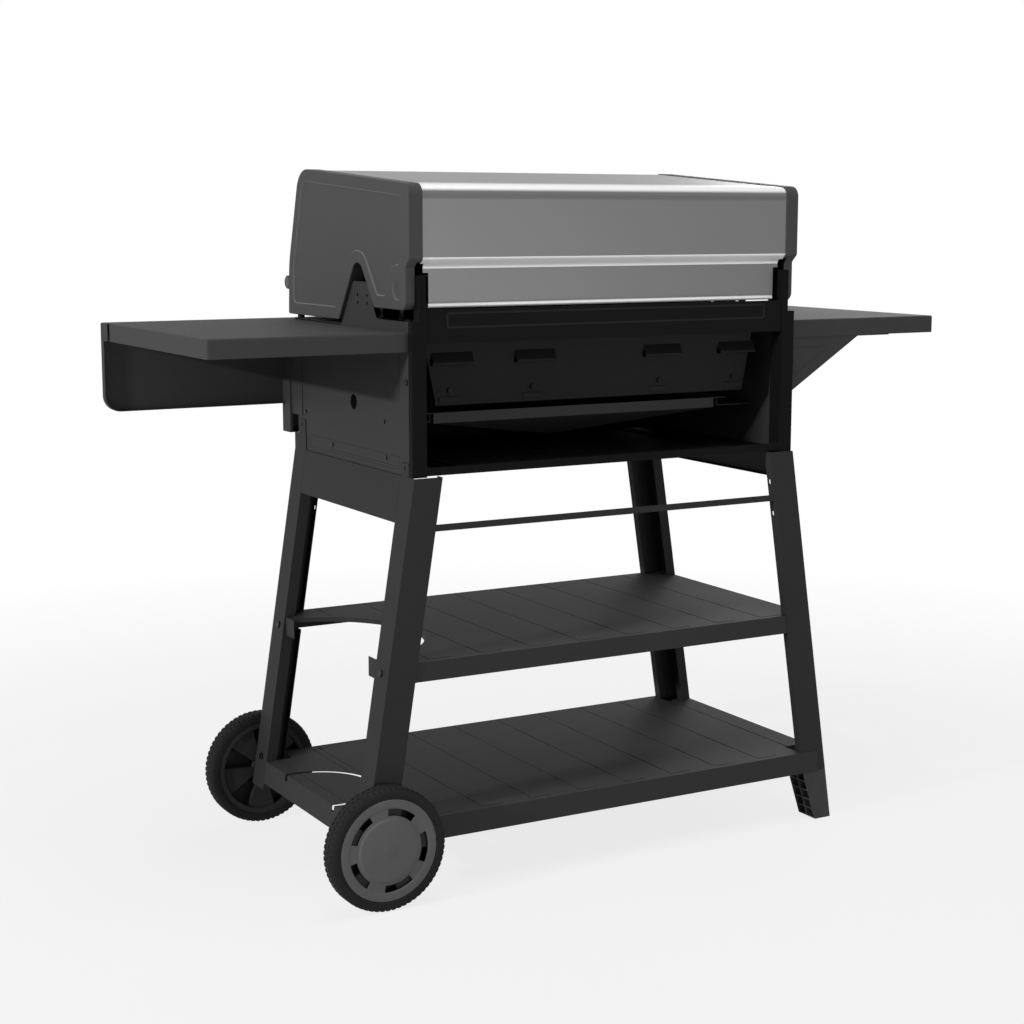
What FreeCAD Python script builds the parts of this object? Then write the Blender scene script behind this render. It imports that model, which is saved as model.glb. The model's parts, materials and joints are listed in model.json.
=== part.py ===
"""Four-burner gas grill on an open cart, in millimetres, +Z up, the cook faces +Y from the -Y side.

The cart's four splayed legs stand about the plane Y = 0. The finished pieces are moved along Y together,
so that the origin lies on the floor at the middle of the grill's outline.
"""
import FreeCAD, Part
import math
import os

V = FreeCAD.Vector

# Driving dimensions: sheet metal, fits and cuts
SHEET = 1.5
LEG_SHEET = 2.0
FIT = 0.3
RUN_FIT = 0.05
PAST = 1.0
GROOVE_WIDTH = 2.4
GROOVE_DEPTH = 0.7

# Driving dimensions: legs and feet
SIDE_X = 365.0
LEG_TOP_Z = 675.0
LEG_SPREAD = 105.0
LEG_FACE = 50.0
LEG_DEPTH = 48.0
LEG_LIP = 20.0
LEG_RETURN = 16.0
LEG_MID_Y = -2.5
LEG_PLANE_Y = 231.0
REAR_TAB_RISE = 22.0
FRONT_SHOULDER_RISE = 28.0
FRONT_TAB_RISE = 25.0
TAB_WIDTH = 26.0
TAB_CORNER = 4.0
TAB_HOLE_R = 3.0
TAB_HOLE_DROP = 9.0
LEG_SLOT_STEP = 28.0
LEG_SLOT_WIDTH = 6.0
LEG_SLOT_HEIGHT = 8.0
LEG_SLOT_CORNER = 2.8
FOOT_TOP_Z = 92.0
FOOT_SOLE = 34.0
FOOT_DEPTH = 48.0
FOOT_PLUG = 26.0
FOOT_ROWS = 5
FOOT_RIB = 2.5
FOOT_CELL_DEPTH = 16.0
LEG_BELOW_AXLE = 22.0

# Driving dimensions: wheels
WHEEL_R = 100.0
WHEEL_INSET = 21.5
TYRE_WIDTH = 34.0
TYRE_HEIGHT = 17.0
TYRE_SHOULDER = 7.0
TYRE_BEAD_EDGE = 2.0
TREAD_DEPTH = 1.6
TREAD_GROOVE = 2.4
TREAD_SPACING = 10.9
WHEEL_CLEAR = 7.0
AXLE_R = 5.0
AXLE_COLLAR = 4.0
AXLE_END_GAP = 6.0
HUB_BOSS_R = 15.0
HUB_RIM = 9.0
HUB_WEB = 3.0
HUB_WEB_INSET = 6.0
HUB_WEB_DEPTH = 22.0
HUB_WALL_ANGLE = 2.0
HUB_HOLE_R = 4.5
HUB_HOLE_REACH = 30.0
CAP_SEAT = 5.0
CAP_PROUD = 3.0
CAP_SKIN = 2.5
CAP_EDGE_R = 1.5
CAP_MIDDLE_R = 52.0
CAP_SLOPE = 8.0
CAP_WINDOWS = 5
CAP_WINDOW_GAP = 4.0
CAP_WINDOW_WIDTH = 11.5
CAP_WINDOW_HALF_ANGLE = 22.0
CAP_WINDOW_TURN = -39.0

# Driving dimensions: shelves, end plates and brace
LOWER_SHELF_Z = 128.0
LOWER_SKIRT = 38.0
UPPER_SHELF_Z = 383.0
UPPER_SKIRT = 32.0
BOARD_PITCH = 92.9
BOARD_FIRST_X = 149.8
BOARD_RETURN = 39.0
BOARD_REAR_EDGE = 11.0
BOARD_FRONT_EDGE = 2.0
BOARD_END_EDGE = 20.0
BOARD_SEAM_X = 350.0
SKIRT_AXLE_GAP = 14.0
SKIRT_FOOT_GAP = 12.5
BAY_X = 430.0
BAY_R = 175.0
BAY_LIP = 8.0
SHELF_TAB = 34.0
SEAT_X = 437.0
SEAT_SLOT_R = 98.0
SEAT_SLOT_WIDTH = 9.0
SEAT_NOTCH = 11.0
SEAT_HOLE_R = 2.0
SEAT_HOLE_OFFSET = 16.7
SEAT_HOLE_TURN = 119.4
END_PLATE_DROP = 74.0
END_PLATE_LEFT_DROP = 51.0
END_PLATE_HEM = 9.0
BRACE_DROP = 85.5
BRACE_HEIGHT = 10.5
BRACE_THICK = 3.0

# Driving dimensions: body panels
BODY_HEIGHT = 225.0
POST_SETBACK = 6.0
SIDE_FRONT_Y = -223.0
SIDE_TOP_DROP = 1.0
SIDE_REAR_STEP = 17.0
SPIT_PLATE_RISE = 74.0
SPIT_HOLE_R = 2.75
SPIT_HOLE_Y = 44.0
SPIT_HOLE_DROP = 28.0
SPIT_PITCH_Y = 35.0
SPIT_PITCH_Z = 12.5
SPIT_REAR = 22.0
SPIT_FRONT = 34.0
SPIT_REAR_GAP = 5.0
SPIT_FRONT_GAP = 3.0
SPIT_TOP_R = 8.0
SPIT_FOOT_R = 14.0
SIDE_PORT_R = 12.5
SIDE_PORT_Y = 6.0
SIDE_PORT_RISE = 101.0
POST_FACE = 25.5
POST_RETURN = 30.0
POST_TOP_STEP = 1.0
EAR_RISE = 22.0
EAR_REACH = 18.0
EAR_CORNER = 12.0
EAR_WIDTH = 12.0
EAR_PLATE = 4.0
EAR_ROOT = 30.0
EAR_HEEL = 8.0
EAR_SIDE = 20.0
BACK_PANEL_DROP = 33.0
BACK_PANEL_HEIGHT = 51.5
BACK_PANEL_HEM = 8.0
BACK_FIELD_END = 36.0
BACK_FIELD_LOW = 21.5
BACK_FIELD_TOP = 5.0
FIELD_LINE = 3.0
FIELD_CORNER = 5.0
BASE_GAP = 2.0
BASE_FRONT_GAP = 1.0
BASE_BAR = 18.0
BASE_BAR_HEIGHT = 13.0
BASE_RAIL_X = 236.0
BASE_RAIL_WIDTH = 26.0
BASE_RIDGE = 6.0
BASE_RIDGE_GAP = 14.0
BASE_RIDGE_RISE = 4.0
BASE_FRONT_WALL = 28.0
BASE_BOSS_R = 22.0
BASE_BOSS_RISE = 3.0

# Driving dimensions: lid
CAP_OVERHANG = 6.0
CAP_WIDTH = 24.5
CAP_WALL = 3.5
CAP_RIM = 3.0
CAP_FIELD_EDGE = 20.0
CAP_FIELD_R = 12.0
CAP_FIELD_PIVOT_R = 38.0
CAP_FIELD_DEPTH = 2.0
SKIN_SHEET = 1.0
SKIN_INSET = 1.5
SKIN_EAR_GAP = 11.0
SKIN_EAR_RISE = 4.0
SKIN_STEP_GAP = 7.0
SKIN_NOTCH_DEPTH = 40.0
LID_SEAT_GAP = 6.0
LID_DEPTH = 470.0
LID_REAR_LIFT = 25.0
LID_STEP = 13.0
LID_STEP_SLOPE = 12.0
LID_STEP_RISE = 103.0
LID_REAR_WALL = 114.5
LID_TOP_FALL = 30.5
LID_FRONT_LEAN = 4.0
LID_BROW = 52.0
LID_FRONT_BEND_R = 160.0
LID_BROW_R = 42.0
LID_BEND_SHARE = 0.35
LID_FRONT_LOW_R = 4.0
LID_REAR_LOW_R = 14.0
LID_REAR_TOP_R = 18.0
LID_STEP_R = 5.0
NOTCH_APEX_RISE = 46.0
NOTCH_APEX_Y = 38.0
NOTCH_FRONT_Y = -36.0
NOTCH_REAR_Y = 100.0
NOTCH_R = 22.0
NOTCH_REAR_R = 6.0
NOTCH_FRONT_R = 3.0
BEAD_R = 3.5
BEAD_LIFT = 6.0
HINGE_INSET = 41.0
HINGE_RISE = 31.0
HINGE_PIN_R = 4.0
HINGE_HEAD = 5.0
HINGE_BOSS_R = 11.0
EAR_CLEAR = 0.7
EAR_ROOM_DEPTH = 60.0
EAR_ROOM_DROP = 5.0
PIVOT_DISH_R = 16.0
PIVOT_DISH_DEPTH = 2.5
HANDLE_R = 12.0
HANDLE_REACH = 52.0
HANDLE_RISE = 52.0
HANDLE_HALF = 352.0
HANDLE_END_R = 3.0
HANDLE_POST_X = 318.0
HANDLE_POST_WIDTH = 18.0
HANDLE_POST_ROOT = 30.0
HANDLE_POST_SINK = 15.0
HANDLE_POST_R = 4.0
DIAL_R = 36.0
DIAL_RISE = 101.0
DIAL_PROUD = 12.0
DIAL_RING = 5.0
DIAL_SINK = 3.0
DIAL_EDGE_R = 2.0
DIAL_ROOT = 25.0
BUMPER_R = 6.0
BUMPER_INSET = 18.0

# Driving dimensions: side tables and their fascias
TABLE_REACH = 328.0
TABLE_SKIRT = 30.0
TABLE_EDGE_R = 3.0
TABLE_REAR_Y = 211.0
TABLE_FRONT_Y = -247.0
CONTROL_DEPTH = 35.0
FASCIA_HEIGHT = 150.0
FASCIA_RIM = 14.0
FASCIA_PROUD = 3.0
FASCIA_CORNER = 27.0
FASCIA_GAP = 0.2
GUSSET_REACH = 156.0
GUSSET_STRIP = 226.0
GUSSET_DROP = 94.0
GUSSET_TOE = 9.0
GUSSET_FOOT = 22.0
GUSSET_CORNER = 6.0
GUSSET_TOP_GAP = 1.0
GUSSET_STRIP_GAP = 6.0
GUSSET_FIELD_EDGE = 11.0
GUSSET_FIELD_DROP = 17.0
GUSSET_FIELD_WIDTH = 86.0
GUSSET_FIELD_HEIGHT = 52.0
GUSSET_FIELD_CORNER = 4.0

# Driving dimensions: control panel, gas train and burners
PANEL_OVERHANG = 5.0
PANEL_HEIGHT = 200.0
PANEL_GAP = 1.0
PANEL_FLANGE_GAP = 3.0
BURNER_INNER_X = 123.5
BURNER_EDGE = 30.5
BURNER_LIFT = 24.0
BURNER_R = 12.0
BURNER_MOUTH = 46.0
BURNER_WALL = 2.0
BURNER_FRONT_REACH = 25.0
BURNER_REAR_GAP = 37.0
BURNER_PIN_R = 4.2
BURNER_PIN_PROUD = 4.0
MANIFOLD_R = 8.0
MANIFOLD_SETBACK = 20.0
MANIFOLD_END = 30.0
STRAP_WIDTH = 16.0
STRAP_THICK = 3.0
STRAP_FOOT = 14.0
VALVE_SIZE = 22.0
VALVE_DROP = 20.0
VALVE_SEAT = 3.0
SPINDLE_R = 3.0
SPINDLE_HOLE_CLEAR = 4.0
SPINDLE_END_GAP = 2.0
NOZZLE_R = 5.0
NOZZLE_REACH = 8.0
KNOB_R = 24.0
KNOB_DEPTH = 23.0
KNOB_SKIRT = 9.0
KNOB_GRIP = 12.0
KNOB_GRIP_EDGE = 4.0
KNOB_GRIP_R = 4.5
KNOB_DRAFT = 1.0
KNOB_EDGE_R = 3.0
BEZEL_R = 33.0
BEZEL_DEPTH = 4.0
BEZEL_EDGE = 2.5
BUTTON_R = 8.0
BUTTON_RING = 8.0
BUTTON_TRAVEL = 4.0
BUTTON_PROUD = 4.0
BUTTON_STEP = 4.0
BUTTON_STEM = 16.0
BUTTON_EDGE_R = 1.5
IGNITER_LENGTH = 34.0
IGNITER_WALL = 5.0
INLET_R = 7.9
INLET_BORE_R = 3.0
INLET_LENGTH = 18.0
INLET_NUT_R = 11.5
INLET_NUT_LENGTH = 14.0
INLET_SETOFF = 24.5
INLET_BLOCK = 22.0
BOX_FLANGE = 20.0
BOX_FLANGE_LOW = 6.0
BOX_FLANGE_TOP = 5.0

# Driving dimensions: firebox, cooking pieces and grease tray
TUB_X = 306.0
TUB_Y = 187.0
TUB_DRAFT_X = 9.0
TUB_DRAFT_Y = 19.0
TUB_WALL = 2.0
TUB_DEPTH = 123.0
TUB_LIFT = 3.0
TUB_FLOOR_LIP = 28.0
RIM_THICK = 3.0
RIM_REAR_Y = 192.0
RIM_FRONT_Y = -236.0
RIM_LIP = 10.0
RIM_LIP_REAR_Y = 120.0
GUARD_REACH = 26.0
VENT_WIDTH = 73.0
VENT_DROP = 36.0
VENT_HEIGHT = 21.0
VENT_PROUD = 10.0
VENT_LIP = 4.0
BUMP_WIDTH = 36.0
BUMP_HEIGHT = 8.0
BUMP_DROP = 14.0
BUMP_PROUD = 2.5
BUMP_CORNER = 3.5
TENT_LEDGE_DROP = 42.0
GRATE_LEDGE_DROP = 16.0
LEDGE_THICK = 3.0
LEDGE_REACH = 14.0
TENT_HALF = 26.0
TENT_RISE = 19.0
TENT_END_GAP = 4.0
GRATE_COUNT = 3
GRATE_HEIGHT = 12.0
GRATE_BAR = 7.0
GRATE_PITCH = 19.0
GRATE_EDGE_GAP = 5.0
GRATE_MID_GAP = 1.0
GRATE_BRIDGE_DROP = 3.0
RACK_RISE = 82.0
RACK_INSET = 22.0
RACK_FRONT_Y = 18.0
RACK_DEPTH = 110.0
RACK_BAR = 6.0
RACK_WIRE_R = 2.0
RACK_WIRES = 8
RACK_LEG_INSET = 18.0
TRAY_INSET = 30.0
TRAY_FRONT_Y = -96.0
TRAY_REAR_Y = 120.0
TRAY_HANG = 18.0
TRAY_RIM_HEIGHT = 16.0
TRAY_DEPTH = 54.5
TRAY_WELL_HALF = 16.0
TRAY_FLANGE = 27.0
TRAY_SHEET = 1.2
RAIL_DROP = 12.0
RAIL_GAP = 6.0
RAIL_FRONT = 6.0

# Driving dimensions: fasteners and pressed marks, each place as (Y, height above the leg tops)
SCREW_R = 3.6
SCREW_PROUD = 2.2
SCREW_PLACES = ((122.0, 79.0), (-190.0, 67.0), (-79.0, 21.5), (128.0, 22.0))
LARGE_SCREW_R = 5.0
LARGE_SCREW_PLACE = (202.0, 147.0)
BOLT_R = 6.0
BOLT_HEAD = 3.0
BOLT_SIDE_SHARE = 0.45
BOLT_LIFT = 5.0
SIDE_FIELD = (-173.0, 178.0, 8.0, 30.5)
SIDE_FIELD_CORNER = 6.0
SIDE_FIELD_LINE = 2.0
SIDE_LINE = (-86.0, 172.0, 12.5, 15.5)
SIDE_REAR_LINE = (175.0, 177.0, 115.0, 191.0)
BASE_BOSS = (52.0, 79.0)
BASE_SLOTS = ((-45.6, 39.0), (-38.4, 100.0), (-87.2, 38.4), (-86.0, 95.4))
BASE_SLOT_SIZE = (14.0, 6.0, 2.0)

# Worked-out heights
REAR_TAB_TOP_Z = LEG_TOP_Z + REAR_TAB_RISE
FRONT_SHOULDER_Z = LEG_TOP_Z + FRONT_SHOULDER_RISE
FRONT_TAB_TOP_Z = FRONT_SHOULDER_Z + FRONT_TAB_RISE
AXLE_Z = WHEEL_R
WHEEL_LEG_END_Z = AXLE_Z - LEG_BELOW_AXLE
END_PLATE_LOW_Z = LEG_TOP_Z - END_PLATE_DROP
END_PLATE_LEFT_LOW_Z = LEG_TOP_Z - END_PLATE_LEFT_DROP
BRACE_LOW_Z = LEG_TOP_Z - BRACE_DROP
BASE_Z = LEG_TOP_Z + BASE_GAP
BASE_FRONT_TOP_Z = BASE_Z + BASE_FRONT_WALL
TABLE_Z = LEG_TOP_Z + BODY_HEIGHT
SIDE_TOP_Z = TABLE_Z - SIDE_TOP_DROP
SIDE_REAR_TOP_Z = SIDE_TOP_Z + SIDE_REAR_STEP
SPIT_PLATE_TOP_Z = SIDE_TOP_Z + SPIT_PLATE_RISE
SPIT_HOLE_Z = SPIT_PLATE_TOP_Z - SPIT_HOLE_DROP
POST_TOP_Z = SIDE_REAR_TOP_Z + POST_TOP_STEP
BACK_PANEL_LOW_Z = POST_TOP_Z - BACK_PANEL_DROP
BACK_PANEL_TOP_Z = BACK_PANEL_LOW_Z + BACK_PANEL_HEIGHT
FASCIA_LOW_Z = TABLE_Z - FASCIA_HEIGHT
PANEL_LOW_Z = TABLE_Z - PANEL_HEIGHT
TUB_TOP_Z = TABLE_Z + TUB_LIFT
TUB_LOW_Z = TUB_TOP_Z - TUB_DEPTH
BURNER_Z = TUB_LOW_Z + BURNER_LIFT
VENT_TOP_Z = TUB_TOP_Z - VENT_DROP
VENT_LOW_Z = VENT_TOP_Z - VENT_HEIGHT
TENT_LEDGE_Z = TUB_TOP_Z - TENT_LEDGE_DROP
GRATE_LEDGE_Z = TUB_TOP_Z - GRATE_LEDGE_DROP
RACK_Z = TUB_TOP_Z + RACK_RISE
TRAY_RIM_Z = TUB_LOW_Z - TRAY_HANG
TRAY_WELL_Z = TRAY_RIM_Z - TRAY_DEPTH
MANIFOLD_Z = BURNER_Z - VALVE_DROP - MANIFOLD_R + VALVE_SEAT
LID_FRONT_LOW_Z = TUB_TOP_Z + LID_SEAT_GAP
LID_REAR_LOW_Z = LID_FRONT_LOW_Z + LID_REAR_LIFT
LID_STEP_Z = LID_FRONT_LOW_Z + LID_STEP_RISE
LID_REAR_TOP_Z = LID_STEP_Z + LID_REAR_WALL
LID_FRONT_TOP_Z = LID_REAR_TOP_Z + LID_TOP_FALL
NOTCH_APEX_Z = SPIT_PLATE_TOP_Z + NOTCH_APEX_RISE
HINGE_Z = LID_REAR_LOW_Z + HINGE_RISE
EAR_TOP_Z = HINGE_Z + EAR_RISE
HANDLE_Z = LID_FRONT_LOW_Z + HANDLE_RISE
DIAL_Z = LID_FRONT_LOW_Z + DIAL_RISE

# Worked-out places across the grill and along it
LEG_OUT_TOP = SIDE_X + LEG_SHEET
LEG_LEAN = LEG_SPREAD / LEG_TOP_Z
LEG_NORMAL = V(1.0, 0.0, LEG_LEAN).normalize()
LEG_INSIDE_Y = LEG_PLANE_Y - LEG_DEPTH
TYRE_BEAD_R = WHEEL_R - TYRE_HEIGHT
HUB_IN_Y = LEG_PLANE_Y + WHEEL_CLEAR
HUB_OUT_Y = HUB_IN_Y + TYRE_WIDTH
SIDE_IN_X = SIDE_X - SHEET
POST_OUT_X = SIDE_X + LEG_SHEET
POST_IN_X = POST_OUT_X - POST_FACE
POST_REAR_Y = LEG_PLANE_Y - POST_SETBACK
SIDE_REAR_Y = POST_REAR_Y - LEG_SHEET
BASE_FRONT_Y = SIDE_FRONT_Y + BASE_FRONT_GAP
CAP_OUT_X = SIDE_X + CAP_OVERHANG
CAP_IN_X = CAP_OUT_X - CAP_WIDTH
LID_REAR_Y = POST_REAR_Y
LID_FRONT_Y = LID_REAR_Y - LID_DEPTH
HINGE_Y = LID_REAR_Y - HINGE_INSET
HANDLE_Y = LID_FRONT_Y - HANDLE_REACH
SKIN_NOTCH_X = POST_IN_X - SKIN_EAR_GAP
TABLE_X = SIDE_X + TABLE_REACH
FASCIA_X = TABLE_X + FASCIA_PROUD
FASCIA_Y = TABLE_FRONT_Y - CONTROL_DEPTH
PANEL_X = SIDE_X + PANEL_OVERHANG
PANEL_BACK_Y = FASCIA_Y + SHEET
BURNER_OUTER_X = TUB_X - BURNER_EDGE
BURNER_XS = (-BURNER_OUTER_X, -BURNER_INNER_X, BURNER_INNER_X, BURNER_OUTER_X)
BURNER_FRONT_Y = -TUB_Y - BURNER_FRONT_REACH
BURNER_REAR_Y = TUB_Y - BURNER_REAR_GAP
MANIFOLD_Y = FASCIA_Y + MANIFOLD_SETBACK
INLET_X = BURNER_OUTER_X + INLET_SETOFF
RACK_X = TUB_X + RACK_INSET
TRAY_X = TUB_X - TRAY_INSET
TRAY_MID_Y = (TRAY_FRONT_Y + TRAY_REAR_Y) / 2
BEZEL_FRONT_Y = FASCIA_Y - BEZEL_DEPTH
KNOB_FRONT_Y = BEZEL_FRONT_Y - FIT - KNOB_DEPTH
REAR_REACH = HUB_OUT_Y + CAP_PROUD
FRONT_REACH = max(-KNOB_FRONT_Y, HANDLE_R - HANDLE_Y)
ORIGIN_SHIFT_Y = (FRONT_REACH - REAR_REACH) / 2


def leg_out(z):
    """X of the outer side face of a right-hand leg at height z."""
    return LEG_OUT_TOP + LEG_LEAN * (LEG_TOP_Z - z)


AXLE_X = leg_out(AXLE_Z) - WHEEL_INSET


def box(x0, x1, y0, y1, z0, z1):
    return Part.makeBox(x1 - x0, y1 - y0, z1 - z0, V(x0, y0, z0))


def rod(start, end, radius):
    """Round bar between two points."""
    start = V(*start)
    way = V(*end) - start
    return Part.makeCylinder(radius, way.Length, start, way)


def on_x(x):
    return lambda u, v: V(x, u, v)


def on_y(y):
    return lambda u, v: V(u, y, v)


def on_z(z):
    return lambda u, v: V(u, v, z)


def outline(points, place):
    """Closed wire through (u, v) or (u, v, corner radius) points, set on a plane by place(u, v)."""
    count = len(points)
    spans = []
    for k in range(count):
        before = V(*points[k - 1][:2])
        here = V(*points[k][:2])
        after = V(*points[(k + 1) % count][:2])
        radius = points[k][2] if len(points[k]) > 2 else 0.0
        if radius == 0.0:
            spans.append((here, None, here))
            continue
        back = (before - here).normalize()
        ahead = (after - here).normalize()
        half = back.getAngle(ahead) / 2
        reach = radius / math.tan(half)
        middle = (back + ahead).normalize() * (radius / math.sin(half) - radius)
        spans.append((here + back * reach, here + middle, here + ahead * reach))
    edges = []
    for k in range(count):
        start, middle, end = spans[k]
        if middle is not None:
            edges.append(Part.Arc(place(*start[:2]), place(*middle[:2]), place(*end[:2])).toShape())
        following = spans[(k + 1) % count][0]
        if (following - end).Length > 1e-6:
            edges.append(Part.LineSegment(place(*end[:2]), place(*following[:2])).toShape())
    return Part.Wire(edges)


def face(points, place):
    return Part.Face(outline(points, place))


def slab_x(points, x0, x1):
    return face(points, on_x(x0)).extrude(V(x1 - x0, 0, 0))


def slab_y(points, y0, y1):
    return face(points, on_y(y0)).extrude(V(0, y1 - y0, 0))


def slab_z(points, z0, z1):
    return face(points, on_z(z0)).extrude(V(0, 0, z1 - z0))


def rectangle(u0, u1, v0, v1, radius=0.0):
    corners = ((u0, v0), (u1, v0), (u1, v1), (u0, v1))
    return [(u, v, radius) for u, v in corners]


def frustum(low, low_z, high, high_z):
    """Flat-sided block between two level rectangles, each (x0, x1, y0, y1)."""
    rings = []
    for (x0, x1, y0, y1), z in ((low, low_z), (high, high_z)):
        rings.append([V(x0, y0, z), V(x1, y0, z), V(x1, y1, z), V(x0, y1, z)])
    sides = [rings[0], rings[1]]
    for k in range(4):
        sides.append([rings[0][k - 1], rings[0][k], rings[1][k], rings[1][k - 1]])
    faces = [Part.Face(Part.makePolygon(corners + corners[:1])) for corners in sides]
    return Part.makeSolid(Part.makeShell(faces))


def join(shapes):
    result = shapes[0].multiFuse(shapes[1:]) if len(shapes) > 1 else shapes[0]
    return result.removeSplitter()


def group(shapes):
    return Part.makeCompound(shapes)


def flip_x(shape):
    return shape.mirror(V(0, 0, 0), V(1, 0, 0))


def flip_y(shape):
    return shape.mirror(V(0, LEG_MID_Y, 0), V(0, 1, 0))


def front_y(rear_y):
    """Y that faces rear_y across the middle of the legs."""
    return 2 * LEG_MID_Y - rear_y


def turned(points, centre_x, centre_z):
    """Solid of revolution about a Y axis through (centre_x, centre_z) from (radius, y) points."""
    profile = face(points, lambda r, y: V(centre_x + r, y, centre_z))
    return profile.revolve(V(centre_x, 0, centre_z), V(0, 1, 0), 360)


def inset(plain, distance):
    """Face shrunk all round by a distance."""
    shrunk = plain.makeOffset2D(-distance)
    return shrunk if shrunk.ShapeType == "Face" else Part.Face(shrunk)


def ring_groove(plain, width, depth_vector):
    """Thin groove that follows the outline of a face, sunk along depth_vector."""
    return plain.extrude(depth_vector).cut(inset(plain, width).extrude(depth_vector))


def sector(low_r, high_r, half_angle, turn, y0, y1):
    """Curved block about the axle between two radii, its middle turned from +X about +Y."""
    ring = turned(rectangle(low_r, high_r, y0, y1), AXLE_X, AXLE_Z)
    far = AXLE_X + 2 * high_r
    rise = 2 * high_r * math.tan(math.radians(half_angle))
    wedge = slab_y([(AXLE_X, AXLE_Z), (far, AXLE_Z - rise), (far, AXLE_Z + rise)], y0, y1)
    block = ring.common(wedge)
    block.rotate(V(AXLE_X, 0, AXLE_Z), V(0, 1, 0), turn)
    return block


# Legs, feet, end plates and brace

def leg_section(z):
    x = leg_out(z)
    y = LEG_PLANE_Y
    t = LEG_SHEET
    inner = x - LEG_FACE
    points = [(x, y), (inner, y), (inner, y - LEG_RETURN), (inner + t, y - LEG_RETURN)]
    points += [(inner + t, y - t), (x - t, y - t), (x - t, y - LEG_DEPTH + t)]
    points += [(x - LEG_LIP, y - LEG_DEPTH + t), (x - LEG_LIP, y - LEG_DEPTH), (x, y - LEG_DEPTH)]
    return points


def leaning(points, z0, z1):
    """Prism from a plan outline at z0 up to z1, leaning with the right-hand legs."""
    return face(points, on_z(z0)).extrude(V(leg_out(z1) - leg_out(z0), 0, z1 - z0))


def leg(low_z, front):
    """Right-hand leg as it stands at the rear; a front leg is made the same way and turned over."""
    shoulder = FRONT_SHOULDER_Z if front else LEG_TOP_Z
    tab_top = FRONT_TAB_TOP_Z if front else REAR_TAB_TOP_Z
    tab_mid = LEG_INSIDE_Y + TAB_WIDTH / 2 + LEG_SHEET
    pieces = [leaning(leg_section(low_z), low_z, LEG_TOP_Z)]
    if front:
        pieces.append(box(SIDE_X, LEG_OUT_TOP, LEG_INSIDE_Y, LEG_PLANE_Y, LEG_TOP_Z, shoulder))
    tab = rectangle(tab_mid - TAB_WIDTH / 2, tab_mid + TAB_WIDTH / 2, shoulder - PAST, tab_top)
    tab[2] = tab[2][:2] + (TAB_CORNER,)
    tab[3] = tab[3][:2] + (TAB_CORNER,)
    pieces.append(slab_x(tab, SIDE_X, LEG_OUT_TOP))
    solid = join(pieces)
    shelf_low = UPPER_SHELF_Z - UPPER_SKIRT - FIT
    shelf_top = UPPER_SHELF_Z + FIT
    side_in = leg_out(shelf_top) - LEG_SHEET
    rear_in = LEG_PLANE_Y - LEG_SHEET
    cuts = [box(side_in - LEG_FACE, side_in, LEG_INSIDE_Y - PAST, rear_in, shelf_low, shelf_top)]
    y = LEG_PLANE_Y - (LEG_RETURN + LEG_SHEET) / 2
    half_y = LEG_SLOT_WIDTH / 2
    half_z = LEG_SLOT_HEIGHT / 2
    for step in (LEG_SLOT_STEP, -LEG_SLOT_STEP):
        z = BRACE_LOW_Z + BRACE_HEIGHT / 2 + step
        edge = leg_out(z) - LEG_FACE
        slot = rectangle(y - half_y, y + half_y, z - half_z, z + half_z, LEG_SLOT_CORNER)
        cuts.append(slab_x(slot, edge - LEG_SHEET, edge + 2 * LEG_SHEET))
    return solid.cut(group(cuts)), tab_mid, tab_top


def legs():
    made = {}
    for end, low in (("right", WHEEL_LEG_END_Z), ("left", FOOT_TOP_Z)):
        for side in ("rear", "front"):
            solid, tab_mid, tab_top = leg(low, side == "front")
            hole_z = tab_top - TAB_HOLE_DROP
            near = (SIDE_X - PAST, tab_mid, hole_z)
            far = (LEG_OUT_TOP + PAST, tab_mid, hole_z)
            solid = solid.cut(rod(near, far, TAB_HOLE_R))
            if end == "right":
                hole_end = (AXLE_X, LEG_PLANE_Y + PAST, AXLE_Z)
                solid = solid.cut(rod((AXLE_X, 0, AXLE_Z), hole_end, AXLE_R + RUN_FIT))
            if side == "front":
                solid = flip_y(solid)
            made["leg_%s_%s" % (side, end)] = solid if end == "right" else flip_x(solid)
    return made


def foot():
    """Tapered moulded foot of a left-hand leg, drawn on the right, with open cells on its inner side."""
    low_y = LEG_PLANE_Y - FOOT_DEPTH
    high_y = LEG_PLANE_Y
    outer_top = leg_out(FOOT_TOP_Z)
    inner_top = outer_top - LEG_FACE
    inner_low = leg_out(0) - FOOT_SOLE
    body = [(leg_out(0), 0), (outer_top, FOOT_TOP_Z), (inner_top, FOOT_TOP_Z), (inner_low, 0)]
    solid = slab_y(body, low_y, high_y)
    plug_top = FOOT_TOP_Z + FOOT_PLUG
    gap = LEG_SHEET + FIT
    plug_x = leg_out(plug_top) - gap
    plug = box(inner_top + gap, plug_x, high_y - LEG_DEPTH / 2, high_y - gap, FOOT_TOP_Z, plug_top)
    pitch_z = (FOOT_TOP_Z - FOOT_RIB) / FOOT_ROWS
    pitch_y = (FOOT_DEPTH - FOOT_RIB) / 2
    cells = []
    for row in range(FOOT_ROWS):
        z0 = FOOT_RIB + row * pitch_z
        z1 = z0 + pitch_z - FOOT_RIB
        inner = inner_low + (inner_top - inner_low) * z1 / FOOT_TOP_Z
        for column in range(2):
            y0 = low_y + FOOT_RIB + column * pitch_y
            y1 = y0 + pitch_y - FOOT_RIB
            cells.append(box(inner - LEG_FACE, inner + FOOT_CELL_DEPTH, y0, y1, z0, z1))
    return join([solid, plug]).cut(group(cells))


def end_plate(low_z):
    """Panel between the tops of two legs, with its lower edge hemmed inwards."""
    rear = LEG_INSIDE_Y
    x = leg_out(low_z)
    plate = leaning(rectangle(x - SHEET, x, front_y(rear), rear), low_z, LEG_TOP_Z)
    hem = box(x - END_PLATE_HEM, x - SHEET / 2, front_y(rear), rear, low_z, low_z + SHEET)
    return join([plate, hem])


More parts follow.
